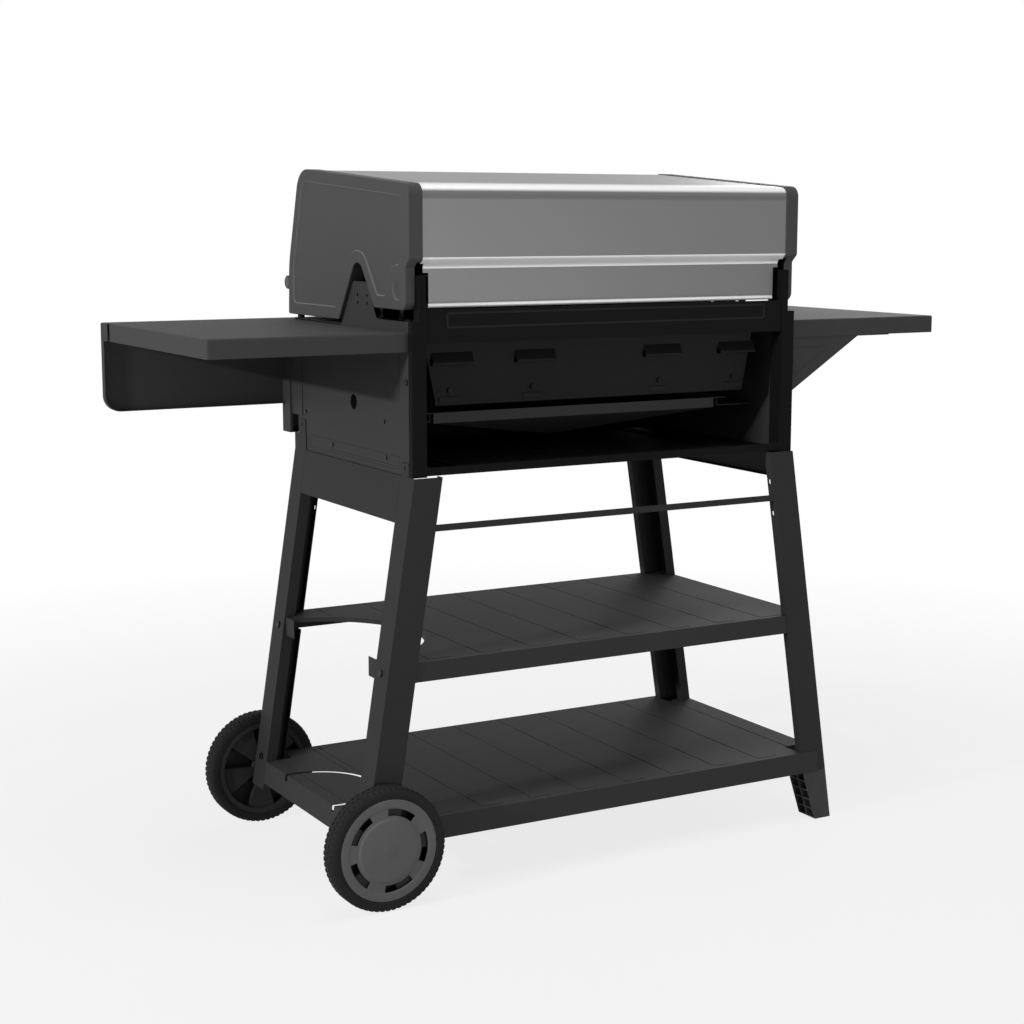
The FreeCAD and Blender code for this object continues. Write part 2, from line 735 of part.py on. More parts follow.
def rear_brace():
    top = BRACE_LOW_Z + BRACE_HEIGHT
    low_x = leg_out(BRACE_LOW_Z) - LEG_FACE
    top_x = leg_out(top) - LEG_FACE
    shape = [(-low_x, BRACE_LOW_Z), (low_x, BRACE_LOW_Z), (top_x, top), (-top_x, top)]
    rear = LEG_PLANE_Y - LEG_SHEET
    return slab_y(shape, rear - BRACE_THICK, rear)


# Shelves

def board_grooves(half_x, half_y, top_z, keep_out):
    """Shallow plank lines along Y, each with a short return near the rear edge."""
    cuts = []
    half = GROOVE_WIDTH / 2
    low = top_z - GROOVE_DEPTH
    high = top_z + PAST
    rear = half_y - BOARD_REAR_EDGE
    front = front_y(half_y - BOARD_FRONT_EDGE)
    last = BOARD_END_EDGE - half_x
    first = math.floor((-last - BOARD_FIRST_X) / BOARD_PITCH)
    x = BOARD_FIRST_X + first * BOARD_PITCH
    while x > last:
        cuts.append(box(x - half, x + half, front, rear, low, high))
        if x - BOARD_RETURN > last:
            cuts.append(box(x - BOARD_RETURN, x, rear - GROOVE_WIDTH, rear, low, high))
        x -= BOARD_PITCH
    return group(cuts).cut(keep_out)


def pan(x0, x1, y0, y1, top_z, skirt):
    """Sheet tray turned upside down: a top with four skirts."""
    low = top_z - skirt
    t = SHEET
    return box(x0, x1, y0, y1, low, top_z).cut(box(x0 + t, x1 - t, y0 + t, y1 - t, low - PAST, top_z - t))


def lower_shelf():
    """Plank-grooved sheet whose long skirts lap over the legs and whose end skirts lean with them."""
    end_x = leg_out(LOWER_SHELF_Z)
    low = LOWER_SHELF_Z - LOWER_SKIRT
    high = LOWER_SHELF_Z + PAST
    rear = LEG_PLANE_Y + SHEET
    top = box(-end_x, end_x, front_y(rear), rear, LOWER_SHELF_Z - SHEET, LOWER_SHELF_Z)
    skirt = box(-end_x, end_x, LEG_PLANE_Y, rear, low, LOWER_SHELF_Z)
    low_x = leg_out(low)
    lip_y = LEG_INSIDE_Y - FIT
    end = leaning(rectangle(low_x - SHEET, low_x, front_y(lip_y), lip_y), low, LOWER_SHELF_Z)
    solid = join([top, skirt, flip_y(skirt), end, flip_x(end)])
    corner_x = end_x - LEG_FACE - FIT
    past_x = low_x + PAST
    for sx in (1, -1):
        skirt_end = AXLE_X - SKIRT_AXLE_GAP if sx > 0 else end_x - SKIRT_FOOT_GAP
        xs = sorted((sx * corner_x, sx * past_x))
        corner = box(xs[0], xs[1], lip_y, LEG_PLANE_Y, low - PAST, high)
        xs = sorted((sx * skirt_end, sx * past_x))
        trim = box(xs[0], xs[1], lip_y, rear + PAST, low - PAST, high)
        solid = solid.cut(group([corner, flip_y(corner), trim, flip_y(trim)]))
    slot = seat_slot(low_x + PAST)
    grooves = board_grooves(end_x, rear, LOWER_SHELF_Z, slot)
    return solid.cut(slot).cut(grooves).cut(seat_seam(rear))


def seat_slot(reach):
    """Curved slot that locates the foot ring of a gas cylinder and runs out through the end skirt."""
    low = LOWER_SHELF_Z - SEAT_NOTCH
    depth = SEAT_NOTCH + PAST
    half = SEAT_SLOT_WIDTH / 2
    outer = Part.makeCylinder(SEAT_SLOT_R + half, depth, V(SEAT_X, 0, low))
    inner = Part.makeCylinder(SEAT_SLOT_R - half, depth, V(SEAT_X, 0, low))
    wide = 2 * SEAT_SLOT_R
    cuts = [outer.cut(inner).common(box(0, reach, -wide, wide, low, low + depth))]
    turn = math.radians(SEAT_HOLE_TURN)
    for out in (SEAT_SLOT_R - SEAT_HOLE_OFFSET, SEAT_SLOT_R + SEAT_HOLE_OFFSET):
        x = SEAT_X + out * math.cos(turn)
        for y in (out * math.sin(turn), -out * math.sin(turn)):
            cuts.append(Part.makeCylinder(SEAT_HOLE_R, depth, V(x, y, low)))
    return group(cuts)


def seat_seam(half_y):
    """Plank line that stops at both sides of the seat for the gas cylinder."""
    half = GROOVE_WIDTH / 2
    low = LOWER_SHELF_Z - GROOVE_DEPTH
    high = LOWER_SHELF_Z + PAST
    rear = half_y - BOARD_REAR_EDGE
    front = front_y(half_y - BOARD_FRONT_EDGE)
    line = box(BOARD_SEAM_X - half, BOARD_SEAM_X + half, front, rear, low, high)
    return line.cut(Part.makeCylinder(SEAT_SLOT_R, high - low, V(SEAT_X, 0, low)))


def upper_shelf():
    """Plank-grooved sheet between the legs, hollowed at the right to clear a standing gas cylinder."""
    end_x = leg_out(UPPER_SHELF_Z) - LEG_SHEET - FIT
    rear = LEG_PLANE_Y - LEG_SHEET
    solid = pan(-end_x, end_x, front_y(rear), rear, UPPER_SHELF_Z, UPPER_SKIRT)
    low = UPPER_SHELF_Z - UPPER_SKIRT - PAST
    high = UPPER_SHELF_Z + PAST
    bay = Part.makeCylinder(BAY_R, high - low, V(BAY_X, 0, low))
    collar = Part.makeCylinder(BAY_R + SHEET, BAY_LIP, V(BAY_X, 0, UPPER_SHELF_Z - BAY_LIP))
    inside = box(-end_x, end_x - SHEET, front_y(rear - SHEET), rear - SHEET, low, UPPER_SHELF_Z)
    chord = LEG_INSIDE_Y - SHELF_TAB
    gate = box(0, end_x + PAST, front_y(chord), chord, low, high)
    inner_bay = bay.common(box(0, end_x - SHEET, front_y(rear), rear, low, high))
    solid = join([solid, collar.common(inside)]).cut(inner_bay).cut(bay.common(gate))
    keep_out = Part.makeCylinder(BAY_R + BAY_LIP, high - low, V(BAY_X, 0, low))
    return solid.cut(board_grooves(end_x, rear, UPPER_SHELF_Z, keep_out))


# Wheels and axle

def axle():
    end = HUB_OUT_Y - AXLE_END_GAP
    bar = rod((AXLE_X, front_y(end), AXLE_Z), (AXLE_X, end, AXLE_Z), AXLE_R)
    collar_end = (AXLE_X, HUB_IN_Y - FIT, AXLE_Z)
    collar = rod((AXLE_X, LEG_PLANE_Y, AXLE_Z), collar_end, AXLE_R + AXLE_COLLAR)
    return join([bar, collar, flip_y(collar)])


def tyre():
    bead = TYRE_BEAD_EDGE
    shoulder = TYRE_SHOULDER
    profile = [(TYRE_BEAD_R, HUB_IN_Y, bead), (WHEEL_R, HUB_IN_Y, shoulder)]
    profile += [(WHEEL_R, HUB_OUT_Y, shoulder), (TYRE_BEAD_R, HUB_OUT_Y, bead)]
    solid = turned(profile, AXLE_X, AXLE_Z)
    half = TREAD_GROOVE / 2
    grooves = []
    for side in (-0.5, 0.5):
        y = HUB_IN_Y + TYRE_WIDTH / 2 + side * TREAD_SPACING
        ring = rectangle(WHEEL_R - TREAD_DEPTH, WHEEL_R + PAST, y - half, y + half)
        grooves.append(turned(ring, AXLE_X, AXLE_Z))
    return solid.cut(group(grooves))


def hub():
    """Moulded wheel centre whose web stands in and out by turns between the boss and the rim."""
    bore = AXLE_R + RUN_FIT
    outer = HUB_OUT_Y - CAP_SEAT
    rim_r = TYRE_BEAD_R - HUB_RIM
    near = HUB_IN_Y + HUB_WEB_INSET
    far = near + HUB_WEB_DEPTH
    rim = turned(rectangle(rim_r, TYRE_BEAD_R, HUB_IN_Y + TYRE_BEAD_EDGE / 2, outer), AXLE_X, AXLE_Z)
    web = turned(rectangle(bore, rim_r + PAST, near, far), AXLE_X, AXLE_Z)
    boss = turned(rectangle(bore, HUB_BOSS_R, HUB_IN_Y, outer), AXLE_X, AXLE_Z)
    solid = join([rim, web, boss])
    low_r = HUB_BOSS_R + HUB_WEB
    half_angle = 90.0 / CAP_WINDOWS - HUB_WALL_ANGLE
    for k in range(CAP_WINDOWS):
        turn = CAP_WINDOW_TURN + 360.0 * k / CAP_WINDOWS
        shift = 90.0 / CAP_WINDOWS
        inside = sector(low_r, rim_r, half_angle, turn + shift, near - PAST, far - HUB_WEB)
        outside = sector(low_r, rim_r, half_angle, turn - shift, near + HUB_WEB, far + PAST)
        solid = solid.cut(inside).cut(outside)
    hole_x = AXLE_X + HUB_HOLE_REACH
    hole = rod((hole_x, near, AXLE_Z), (hole_x, far + PAST, AXLE_Z), HUB_HOLE_R)
    hole.rotate(V(AXLE_X, 0, AXLE_Z), V(0, 1, 0), CAP_WINDOW_TURN + 450.0 / CAP_WINDOWS)
    return solid.cut(hole)


def hub_cap():
    """Dished cover with a raised middle and a ring of curved windows."""
    seat = HUB_OUT_Y - CAP_SEAT
    edge = TYRE_BEAD_R - FIT
    proud = HUB_OUT_Y + CAP_PROUD
    middle = CAP_MIDDLE_R - CAP_SLOPE
    low_y = HUB_OUT_Y - CAP_SKIN
    profile = [(0, proud - CAP_SKIN), (middle, proud - CAP_SKIN), (CAP_MIDDLE_R, low_y)]
    profile += [(edge - CAP_SKIN, low_y), (edge - CAP_SKIN, seat), (edge, seat)]
    profile += [(edge, HUB_OUT_Y, CAP_EDGE_R), (CAP_MIDDLE_R, HUB_OUT_Y), (middle, proud), (0, proud)]
    solid = turned(profile, AXLE_X, AXLE_Z)
    low_r = CAP_MIDDLE_R + CAP_WINDOW_GAP
    high_r = low_r + CAP_WINDOW_WIDTH
    for k in range(CAP_WINDOWS):
        turn = CAP_WINDOW_TURN + 360.0 * k / CAP_WINDOWS
        window = sector(low_r, high_r, CAP_WINDOW_HALF_ANGLE, turn, seat - PAST, proud + PAST)
        solid = solid.cut(window)
    return solid


# Cart body panels

def side_outline():
    points = [(SIDE_FRONT_Y, LEG_TOP_Z), (SIDE_REAR_Y, LEG_TOP_Z), (SIDE_REAR_Y, SIDE_REAR_TOP_Z)]
    points += [(NOTCH_REAR_Y - SPIT_REAR_GAP, SIDE_REAR_TOP_Z, SPIT_FOOT_R)]
    points += [(SPIT_HOLE_Y + SPIT_REAR, SPIT_PLATE_TOP_Z, SPIT_TOP_R)]
    points += [(SPIT_HOLE_Y - SPIT_FRONT, SPIT_PLATE_TOP_Z, SPIT_TOP_R)]
    points += [(NOTCH_FRONT_Y - SPIT_FRONT_GAP, SIDE_TOP_Z), (SIDE_FRONT_Y, SIDE_TOP_Z)]
    return points


def side_panel():
    """Right-hand side: outer sheet with the spit bracket on top and a lanced rail for the grease tray."""
    solid = slab_x(side_outline(), SIDE_IN_X, SIDE_X)
    rail_in = TRAY_X + RAIL_GAP
    rail_top = TRAY_RIM_Z - FIT
    rail_low = rail_top - RAIL_DROP
    rail_front = TRAY_FRONT_Y - RAIL_FRONT
    rail = box(rail_in, SIDE_IN_X, rail_front, TRAY_REAR_Y, rail_low - SHEET, rail_low)
    rib = box(rail_in, rail_in + SHEET, rail_front, TRAY_REAR_Y, rail_low - SHEET, rail_top)
    near = SIDE_IN_X - PAST
    far = SIDE_X + PAST
    cuts = []
    for dy in (-0.5, 0.5):
        for dz in (-0.5, 0.5):
            y = SPIT_HOLE_Y + dy * SPIT_PITCH_Y
            z = SPIT_HOLE_Z + dz * SPIT_PITCH_Z
            cuts.append(rod((near, y, z), (far, y, z), SPIT_HOLE_R))
    port_z = LEG_TOP_Z + SIDE_PORT_RISE
    cuts.append(rod((near, SIDE_PORT_Y, port_z), (far, SIDE_PORT_Y, port_z), SIDE_PORT_R))
    y0, y1, low, high = SIDE_FIELD
    field = rectangle(y0, y1, LEG_TOP_Z + low, LEG_TOP_Z + high, SIDE_FIELD_CORNER)
    cuts.append(ring_groove(face(field, on_x(far)), SIDE_FIELD_LINE, V(-PAST - GROOVE_DEPTH, 0, 0)))
    for y0, y1, low, high in (SIDE_LINE, SIDE_REAR_LINE):
        cuts.append(box(SIDE_X - GROOVE_DEPTH, far, y0, y1, LEG_TOP_Z + low, LEG_TOP_Z + high))
    return join([solid, rail, rib]).cut(group(cuts))


def rear_post():
    """Right-hand rear upright with the hinge ear of the lid."""
    t = LEG_SHEET
    rear = POST_REAR_Y
    inner = POST_IN_X
    root_y = rear - POST_RETURN + t
    root_z = POST_TOP_Z - EAR_ROOT
    front = HINGE_Y - EAR_REACH
    plate = box(inner, POST_OUT_X, rear - t, rear, LEG_TOP_Z, POST_TOP_Z)
    outer_return = box(SIDE_X, POST_OUT_X, TABLE_REAR_Y + t, rear, LEG_TOP_Z, POST_TOP_Z)
    inner_return = box(inner, inner + t, rear - POST_RETURN, rear, LEG_TOP_Z, POST_TOP_Z)
    ear = [(root_y, root_z), (rear, root_z), (rear, EAR_TOP_Z), (front, EAR_TOP_Z, EAR_CORNER)]
    ear += [(front, HINGE_Z - EAR_REACH, EAR_CORNER), (root_y, POST_TOP_Z + EAR_HEEL)]
    ear_plate = slab_x(ear, inner, inner + EAR_PLATE)
    low = POST_TOP_Z - t
    far = inner + EAR_WIDTH
    flange = box(inner, far, rear - t, rear, low, EAR_TOP_Z)
    side = box(far - t, far, rear - EAR_SIDE, rear, low, EAR_TOP_Z)
    hole_end = (inner + EAR_PLATE + PAST, HINGE_Y, HINGE_Z)
    hole = rod((inner - PAST, HINGE_Y, HINGE_Z), hole_end, HINGE_PIN_R + RUN_FIT)
    return join([plate, outer_return, inner_return, ear_plate, flange, side]).cut(hole)


def back_panel():
    """Rear heat shield between the posts with a pressed outline."""
    rear = POST_REAR_Y - LEG_SHEET
    half = POST_IN_X
    low = BACK_PANEL_LOW_Z
    plate = box(-half, half, rear - SHEET, rear, low, BACK_PANEL_TOP_Z)
    hem = box(-half, half, rear - BACK_PANEL_HEM, rear, low - SHEET, low)
    field_x = half - BACK_FIELD_END
    field = rectangle(-field_x, field_x, low + BACK_FIELD_LOW, BACK_PANEL_TOP_Z - BACK_FIELD_TOP, FIELD_CORNER)
    groove = ring_groove(face(field, on_y(rear + PAST)), FIELD_LINE, V(0, -PAST - GROOVE_DEPTH, 0))
    return join([plate, hem]).cut(groove)


def base_frame():
    """Flat ring between the side panels with a rear bar, a front wall and ridges beside its opening."""
    t = SHEET
    rear = POST_REAR_Y
    front = BASE_FRONT_Y
    notch_y = rear - POST_RETURN - FIT
    ring = [(-SIDE_IN_X, front), (SIDE_IN_X, front), (SIDE_IN_X, notch_y), (POST_IN_X, notch_y)]
    ring += [(POST_IN_X, rear), (-POST_IN_X, rear), (-POST_IN_X, notch_y), (-SIDE_IN_X, notch_y)]
    top = BASE_Z + t
    hole = box(-BASE_RAIL_X, BASE_RAIL_X, front + BASE_BAR, rear - BASE_BAR, BASE_Z - PAST, top + PAST)
    pieces = [slab_z(ring, BASE_Z, top).cut(hole)]
    pieces.append(box(-POST_IN_X, POST_IN_X, rear - t, rear, BASE_Z, BASE_Z + BASE_BAR_HEIGHT))
    pieces.append(box(-SIDE_IN_X, SIDE_IN_X, front, front + t, BASE_Z, BASE_FRONT_TOP_Z))
    far = BASE_RAIL_X + BASE_RAIL_WIDTH
    for low in (far - BASE_RIDGE, far + BASE_RIDGE_GAP):
        ridge = box(low, low + BASE_RIDGE, front + t, rear - t, BASE_Z, top + BASE_RIDGE_RISE)
        pieces += [ridge, flip_x(ridge)]
    return join(pieces)


def base_plate():
    low = BASE_Z + SHEET
    top = low + SHEET
    half_x = BASE_RAIL_X + BASE_RAIL_WIDTH / 2
    plate = box(-half_x, half_x, BASE_FRONT_Y + BASE_BAR / 2, POST_REAR_Y - BASE_BAR / 2, low, top)
    raised = [plate, Part.makeCylinder(BASE_BOSS_R, BASE_BOSS_RISE, V(BASE_BOSS[0], BASE_BOSS[1], top))]
    long, wide, rise = BASE_SLOT_SIZE
    for x, y in BASE_SLOTS:
        raised.append(box(x - long / 2, x + long / 2, y - wide / 2, y + wide / 2, top, top + rise))
    return join(raised)


# Side tables

def side_table():
    """Right-hand table: folded pan with softened edges."""
    low = TABLE_Z - TABLE_SKIRT
    t = SHEET
    inner = SIDE_X + PAST
    shell = box(SIDE_X, TABLE_X, TABLE_FRONT_Y, TABLE_REAR_Y, low, TABLE_Z)
    soft = []
    for edge in shell.Edges:
        span = edge.BoundBox
        on_top = span.ZMin > low + PAST and span.XMax > inner
        upright = span.XMin > inner and span.ZLength > PAST
        if on_top or upright:
            soft.append(edge)
    shell = shell.makeFillet(TABLE_EDGE_R, soft)
    return shell.cut(box(SIDE_X + t, TABLE_X - t, TABLE_FRONT_Y + t, TABLE_REAR_Y - t, low - PAST, TABLE_Z - t))


def table_fascia():
    """Right-hand front fascia: a pan that carries on the line of the control panel under the table."""
    t = SHEET
    out = FASCIA_X
    low = FASCIA_LOW_Z
    root = PANEL_X - PAST
    front = [(PANEL_X, low), (out, low, FASCIA_CORNER), (out, TABLE_Z, TABLE_EDGE_R), (PANEL_X, TABLE_Z)]
    inner = [(root, low + t), (out - t, low + t, FASCIA_CORNER - t)]
    inner += [(out - t, TABLE_Z - t, TABLE_EDGE_R - t), (root, TABLE_Z - t)]
    rear = TABLE_FRONT_Y - FASCIA_GAP
    shell = slab_y(front, FASCIA_Y, rear).cut(slab_y(inner, PANEL_BACK_Y, rear + PAST))
    trim_top = TABLE_Z - TABLE_SKIRT
    trim = box(root, out + PAST, FASCIA_Y + FASCIA_RIM, rear + PAST, low - PAST, trim_top)
    return shell.cut(trim)


def table_bracket():
    """Left-hand triangular bracket, drawn on the right, that props the rear of the side table."""
    rear = TABLE_REAR_Y - SHEET
    t = LEG_SHEET
    low = TABLE_Z - TABLE_SKIRT
    root = SIDE_X + SHEET
    top = low - GUSSET_TOP_GAP
    foot_z = low - GUSSET_DROP
    web = [(root, top), (root, foot_z, GUSSET_CORNER), (root + GUSSET_TOE, foot_z), (root + GUSSET_REACH, top)]
    plate = slab_y(web, rear - t, rear)
    strip_top = TABLE_Z - SHEET - GUSSET_STRIP_GAP
    strip = box(root + SHEET, root + GUSSET_STRIP, rear - t, rear, low - SHEET, strip_top)
    foot_flange = box(SIDE_X, root, rear - GUSSET_FOOT, rear, foot_z, top)
    x = root + GUSSET_FIELD_EDGE
    z = low - GUSSET_FIELD_DROP
    corner = GUSSET_FIELD_CORNER
    field = [(x, z, corner), (x, z - GUSSET_FIELD_HEIGHT, corner), (x + GUSSET_FIELD_WIDTH, z, corner)]
    groove = ring_groove(face(field, on_y(rear + PAST)), GROOVE_WIDTH, V(0, -PAST - GROOVE_DEPTH, 0))
    return join([plate, strip, foot_flange]).cut(groove)


# Control panel and gas train

def control_panel():
    t = SHEET
    pieces = [box(-PANEL_X, PANEL_X, FASCIA_Y, PANEL_BACK_Y, PANEL_LOW_Z, TABLE_Z)]
    pieces.append(box(-PANEL_X, PANEL_X, PANEL_BACK_Y, RIM_FRONT_Y - PANEL_GAP, TABLE_Z - t, TABLE_Z))
    flange_rear = TABLE_FRONT_Y - PANEL_FLANGE_GAP
    pieces.append(box(-PANEL_X, PANEL_X, PANEL_BACK_Y, flange_rear, PANEL_LOW_Z, PANEL_LOW_Z + t))
    solid = join(pieces)
    for s in (1, -1):
        xs = sorted((s * (SIDE_X - PANEL_GAP), s * (PANEL_X + PAST)))
        trim_low = TABLE_Z - t - PAST
        solid = solid.cut(box(xs[0], xs[1], TABLE_FRONT_Y - FASCIA_GAP, RIM_FRONT_Y, trim_low, TABLE_Z + PAST))
    holes = [(x, SPINDLE_R + SPINDLE_HOLE_CLEAR) for x in BURNER_XS] + [(0, BUTTON_R + FIT)]
    for x, radius in holes:
        solid = solid.cut(rod((x, FASCIA_Y - PAST, BURNER_Z), (x, PANEL_BACK_Y + PAST, BURNER_Z), radius))
    return solid


def control_box_end():
    """Right-hand end of the control box with the flange that lies on the side panel."""
    t = SHEET
    rear = TABLE_FRONT_Y - PANEL_GAP
    top = TABLE_Z - t
    low = PANEL_LOW_Z + t
    end = box(PANEL_X - t, PANEL_X, PANEL_BACK_Y, rear, low, top)
    back = box(SIDE_X, PANEL_X, rear - t, rear, low, top)
    flange_low = FRONT_TAB_TOP_Z + BOX_FLANGE_LOW
    flange_top = TABLE_Z - TABLE_SKIRT - BOX_FLANGE_TOP
    flange = box(SIDE_X, SIDE_X + t, rear - t, SIDE_FRONT_Y + BOX_FLANGE, flange_low, flange_top)
    return join([end, back, flange])


def knob_bezels():
    hole = SPINDLE_R + SPINDLE_HOLE_CLEAR
    button_hole = BUTTON_R + FIT
    rings = []
    for x in BURNER_XS + (0,):
        inner = hole if x else button_hole
        outer = BEZEL_R if x else button_hole + BUTTON_RING
        front = BEZEL_FRONT_Y
        profile = [(inner, FASCIA_Y), (outer, FASCIA_Y), (outer, front, BEZEL_EDGE), (inner, front)]
        rings.append(turned(profile, x, BURNER_Z))
    return group(rings)


def knob(x):
    """Knob with a grip bar across its face and a spindle that turns in its gas valve."""
    back = BEZEL_FRONT_Y - FIT
    step = back - KNOB_SKIRT
    profile = [(0, back), (KNOB_R, back), (KNOB_R - KNOB_DRAFT, step, KNOB_EDGE_R), (0, step)]
    body = turned(profile, x, BURNER_Z)
    half = KNOB_GRIP / 2
    reach = KNOB_R - KNOB_GRIP_EDGE
    bar = rectangle(x - half, x + half, BURNER_Z - reach, BURNER_Z + reach, KNOB_GRIP_R)
    grip = slab_y(bar, KNOB_FRONT_Y, step)
    spindle_end = PANEL_BACK_Y + FIT + VALVE_SIZE / 2
    spindle = rod((x, back, BURNER_Z), (x, spindle_end, BURNER_Z), SPINDLE_R)
    return join([body, grip, spindle])


def igniter_button():
    front = BEZEL_FRONT_Y - BUTTON_TRAVEL - BUTTON_PROUD
    step = PANEL_BACK_Y + BUTTON_STEP
    cap = turned([(0, front), (BUTTON_R, front, BUTTON_EDGE_R), (BUTTON_R, step), (0, step)], 0, BURNER_Z)
    stem = rod((0, step - PAST, BURNER_Z), (0, PANEL_BACK_Y + BUTTON_STEM, BURNER_Z), BUTTON_R / 2)
    return join([cap, stem])


def igniter_body():
    bore = BUTTON_R + FIT
    front = PANEL_BACK_Y
    room = BUTTON_TRAVEL + FIT
    step = front + BUTTON_STEP + room
    shell = turned(rectangle(0, bore + IGNITER_WALL, front, front + IGNITER_LENGTH), 0, BURNER_Z)
    wide = turned(rectangle(0, bore, front - PAST, step), 0, BURNER_Z)
    narrow = turned(rectangle(0, BUTTON_R / 2 + FIT, step - PAST, front + BUTTON_STEM + room), 0, BURNER_Z)
    return shell.cut(wide).cut(narrow)


def gas_valves():
    """Four plug valves clamped on top of the manifold, each with its outlet nozzle."""
    valves = []
    half = VALVE_SIZE / 2
    front = PANEL_BACK_Y + FIT
    bore_end = front + half + SPINDLE_END_GAP
    nozzle_end = BURNER_FRONT_Y + NOZZLE_REACH
    for x in BURNER_XS:
        body = box(x - half, x + half, front, MANIFOLD_Y + half, BURNER_Z - VALVE_DROP, BURNER_Z + half)
        nozzle = rod((x, MANIFOLD_Y, BURNER_Z), (x, nozzle_end, BURNER_Z), NOZZLE_R)
        bore = rod((x, front - PAST, BURNER_Z), (x, bore_end, BURNER_Z), SPINDLE_R + RUN_FIT)
        saddle_end = (x + half + PAST, MANIFOLD_Y, MANIFOLD_Z)
        saddle = rod((x - half - PAST, MANIFOLD_Y, MANIFOLD_Z), saddle_end, MANIFOLD_R)
        valves.append(join([body, nozzle]).cut(bore).cut(saddle))
    return group(valves)


def manifold():
    left = -BURNER_OUTER_X - MANIFOLD_END
    pieces = [rod((left, MANIFOLD_Y, MANIFOLD_Z), (INLET_X, MANIFOLD_Y, MANIFOLD_Z), MANIFOLD_R)]
    top = MANIFOLD_Z - MANIFOLD_R + PAST
    half = STRAP_WIDTH / 2
    front = PANEL_BACK_Y
    for x in (-BURNER_INNER_X / 2, BURNER_INNER_X / 2):
        pieces.append(box(x - half, x + half, front, MANIFOLD_Y + MANIFOLD_R / 2, top - STRAP_THICK, top))
        pieces.append(box(x - half, x + half, front, front + STRAP_THICK, top - STRAP_FOOT, top))
    return join(pieces)


def gas_inlet():
    """Union nut and elbow at the right-hand end of the manifold, its male tail facing the rear."""
    nut_end = INLET_X + INLET_NUT_LENGTH
    corners = []
    for k in range(6):
        turn = math.radians(60 * k)
        corners.append((MANIFOLD_Y + INLET_NUT_R * math.cos(turn), MANIFOLD_Z + INLET_NUT_R * math.sin(turn)))
    nut = slab_x(corners, INLET_X, nut_end)
    half = INLET_BLOCK / 2
    rear = MANIFOLD_Y + half
    block = box(nut_end, nut_end + INLET_BLOCK, MANIFOLD_Y - half, rear, MANIFOLD_Z - half, MANIFOLD_Z + half)
    x = nut_end + half
    tail_end = rear + INLET_LENGTH
    tail = rod((x, rear, MANIFOLD_Z), (x, tail_end, MANIFOLD_Z), INLET_R)
    way = rod((x, MANIFOLD_Y, MANIFOLD_Z), (x, tail_end + PAST, MANIFOLD_Z), INLET_BORE_R)
    return join([nut, block, tail]).cut(way)


# Firebox and what sits in it

def tub_drop(z):
    """Share of the firebox's depth at height z, 0 at its top."""
    return (TUB_TOP_Z - z) / TUB_DEPTH


def tub_solid(shrink, low_z, top_z):
    """Tapered block of the firebox, shrunk by a wall thickness."""
    ends = []
    for z in (low_z, top_z):
        half_x = TUB_X + TUB_WALL - TUB_DRAFT_X * tub_drop(z) - shrink
        half_y = tub_rear_y(z) - shrink
        ends += [(-half_x, half_x, -half_y, half_y), z]
    return frustum(*ends)


def tub_rear_y(z):
    return TUB_Y + TUB_WALL - TUB_DRAFT_Y * tub_drop(z)


def vent_hood(x):
    """Lanced flap on the rear wall, open underneath and at both ends, and the room behind it."""
    half = VENT_WIDTH / 2
    low_y = tub_rear_y(VENT_LOW_Z)
    top_y = tub_rear_y(VENT_TOP_Z)
    out_y = low_y + VENT_PROUD
    low_z = VENT_LOW_Z - PAST
    flap = [(top_y - PAST, VENT_TOP_Z), (out_y, VENT_LOW_Z + VENT_LIP), (out_y, VENT_LOW_Z)]
    flap += [(low_y - PAST, VENT_LOW_Z)]
    room = [(top_y - VENT_PROUD, VENT_TOP_Z - VENT_LIP), (out_y - SHEET, VENT_LOW_Z + VENT_LIP - PAST)]
    room += [(out_y - SHEET, low_z), (low_y - VENT_PROUD, low_z)]
    return slab_x(flap, x - half, x + half), slab_x(room, x - half - PAST, x + half + PAST)


def rim_lip():
    """Upright edge round the front and both ends of the opening, which keeps wind out of the lid."""
    low_z = TUB_TOP_Z - RIM_THICK
    top_z = TUB_TOP_Z + RIM_LIP
    out_x = TUB_X + TUB_WALL
    whole = box(-out_x, out_x, -TUB_Y - TUB_WALL, RIM_LIP_REAR_Y, low_z, top_z)
    return whole.cut(box(-TUB_X, TUB_X, -TUB_Y, RIM_LIP_REAR_Y + PAST, low_z - PAST, top_z + PAST))


def end_guard():
    """Skewed plate that carries the rear wall on past the gas end of the firebox."""
    low, top = TUB_LOW_Z, TUB_TOP_Z - RIM_THICK
    start, end = TUB_X - TUB_FLOOR_LIP, TUB_X + GUARD_REACH
    wall = [(tub_rear_y(low), low), (tub_rear_y(top), top)]
    wall += [(tub_rear_y(top) - TUB_WALL, top), (tub_rear_y(low) - TUB_WALL, low)]
    skew = [(start, low), (TUB_X - TUB_DRAFT_X, low), (end, top), (start, top)]
    return slab_x(wall, start, end).common(slab_y(skew, 0, TUB_Y + TUB_DRAFT_Y))


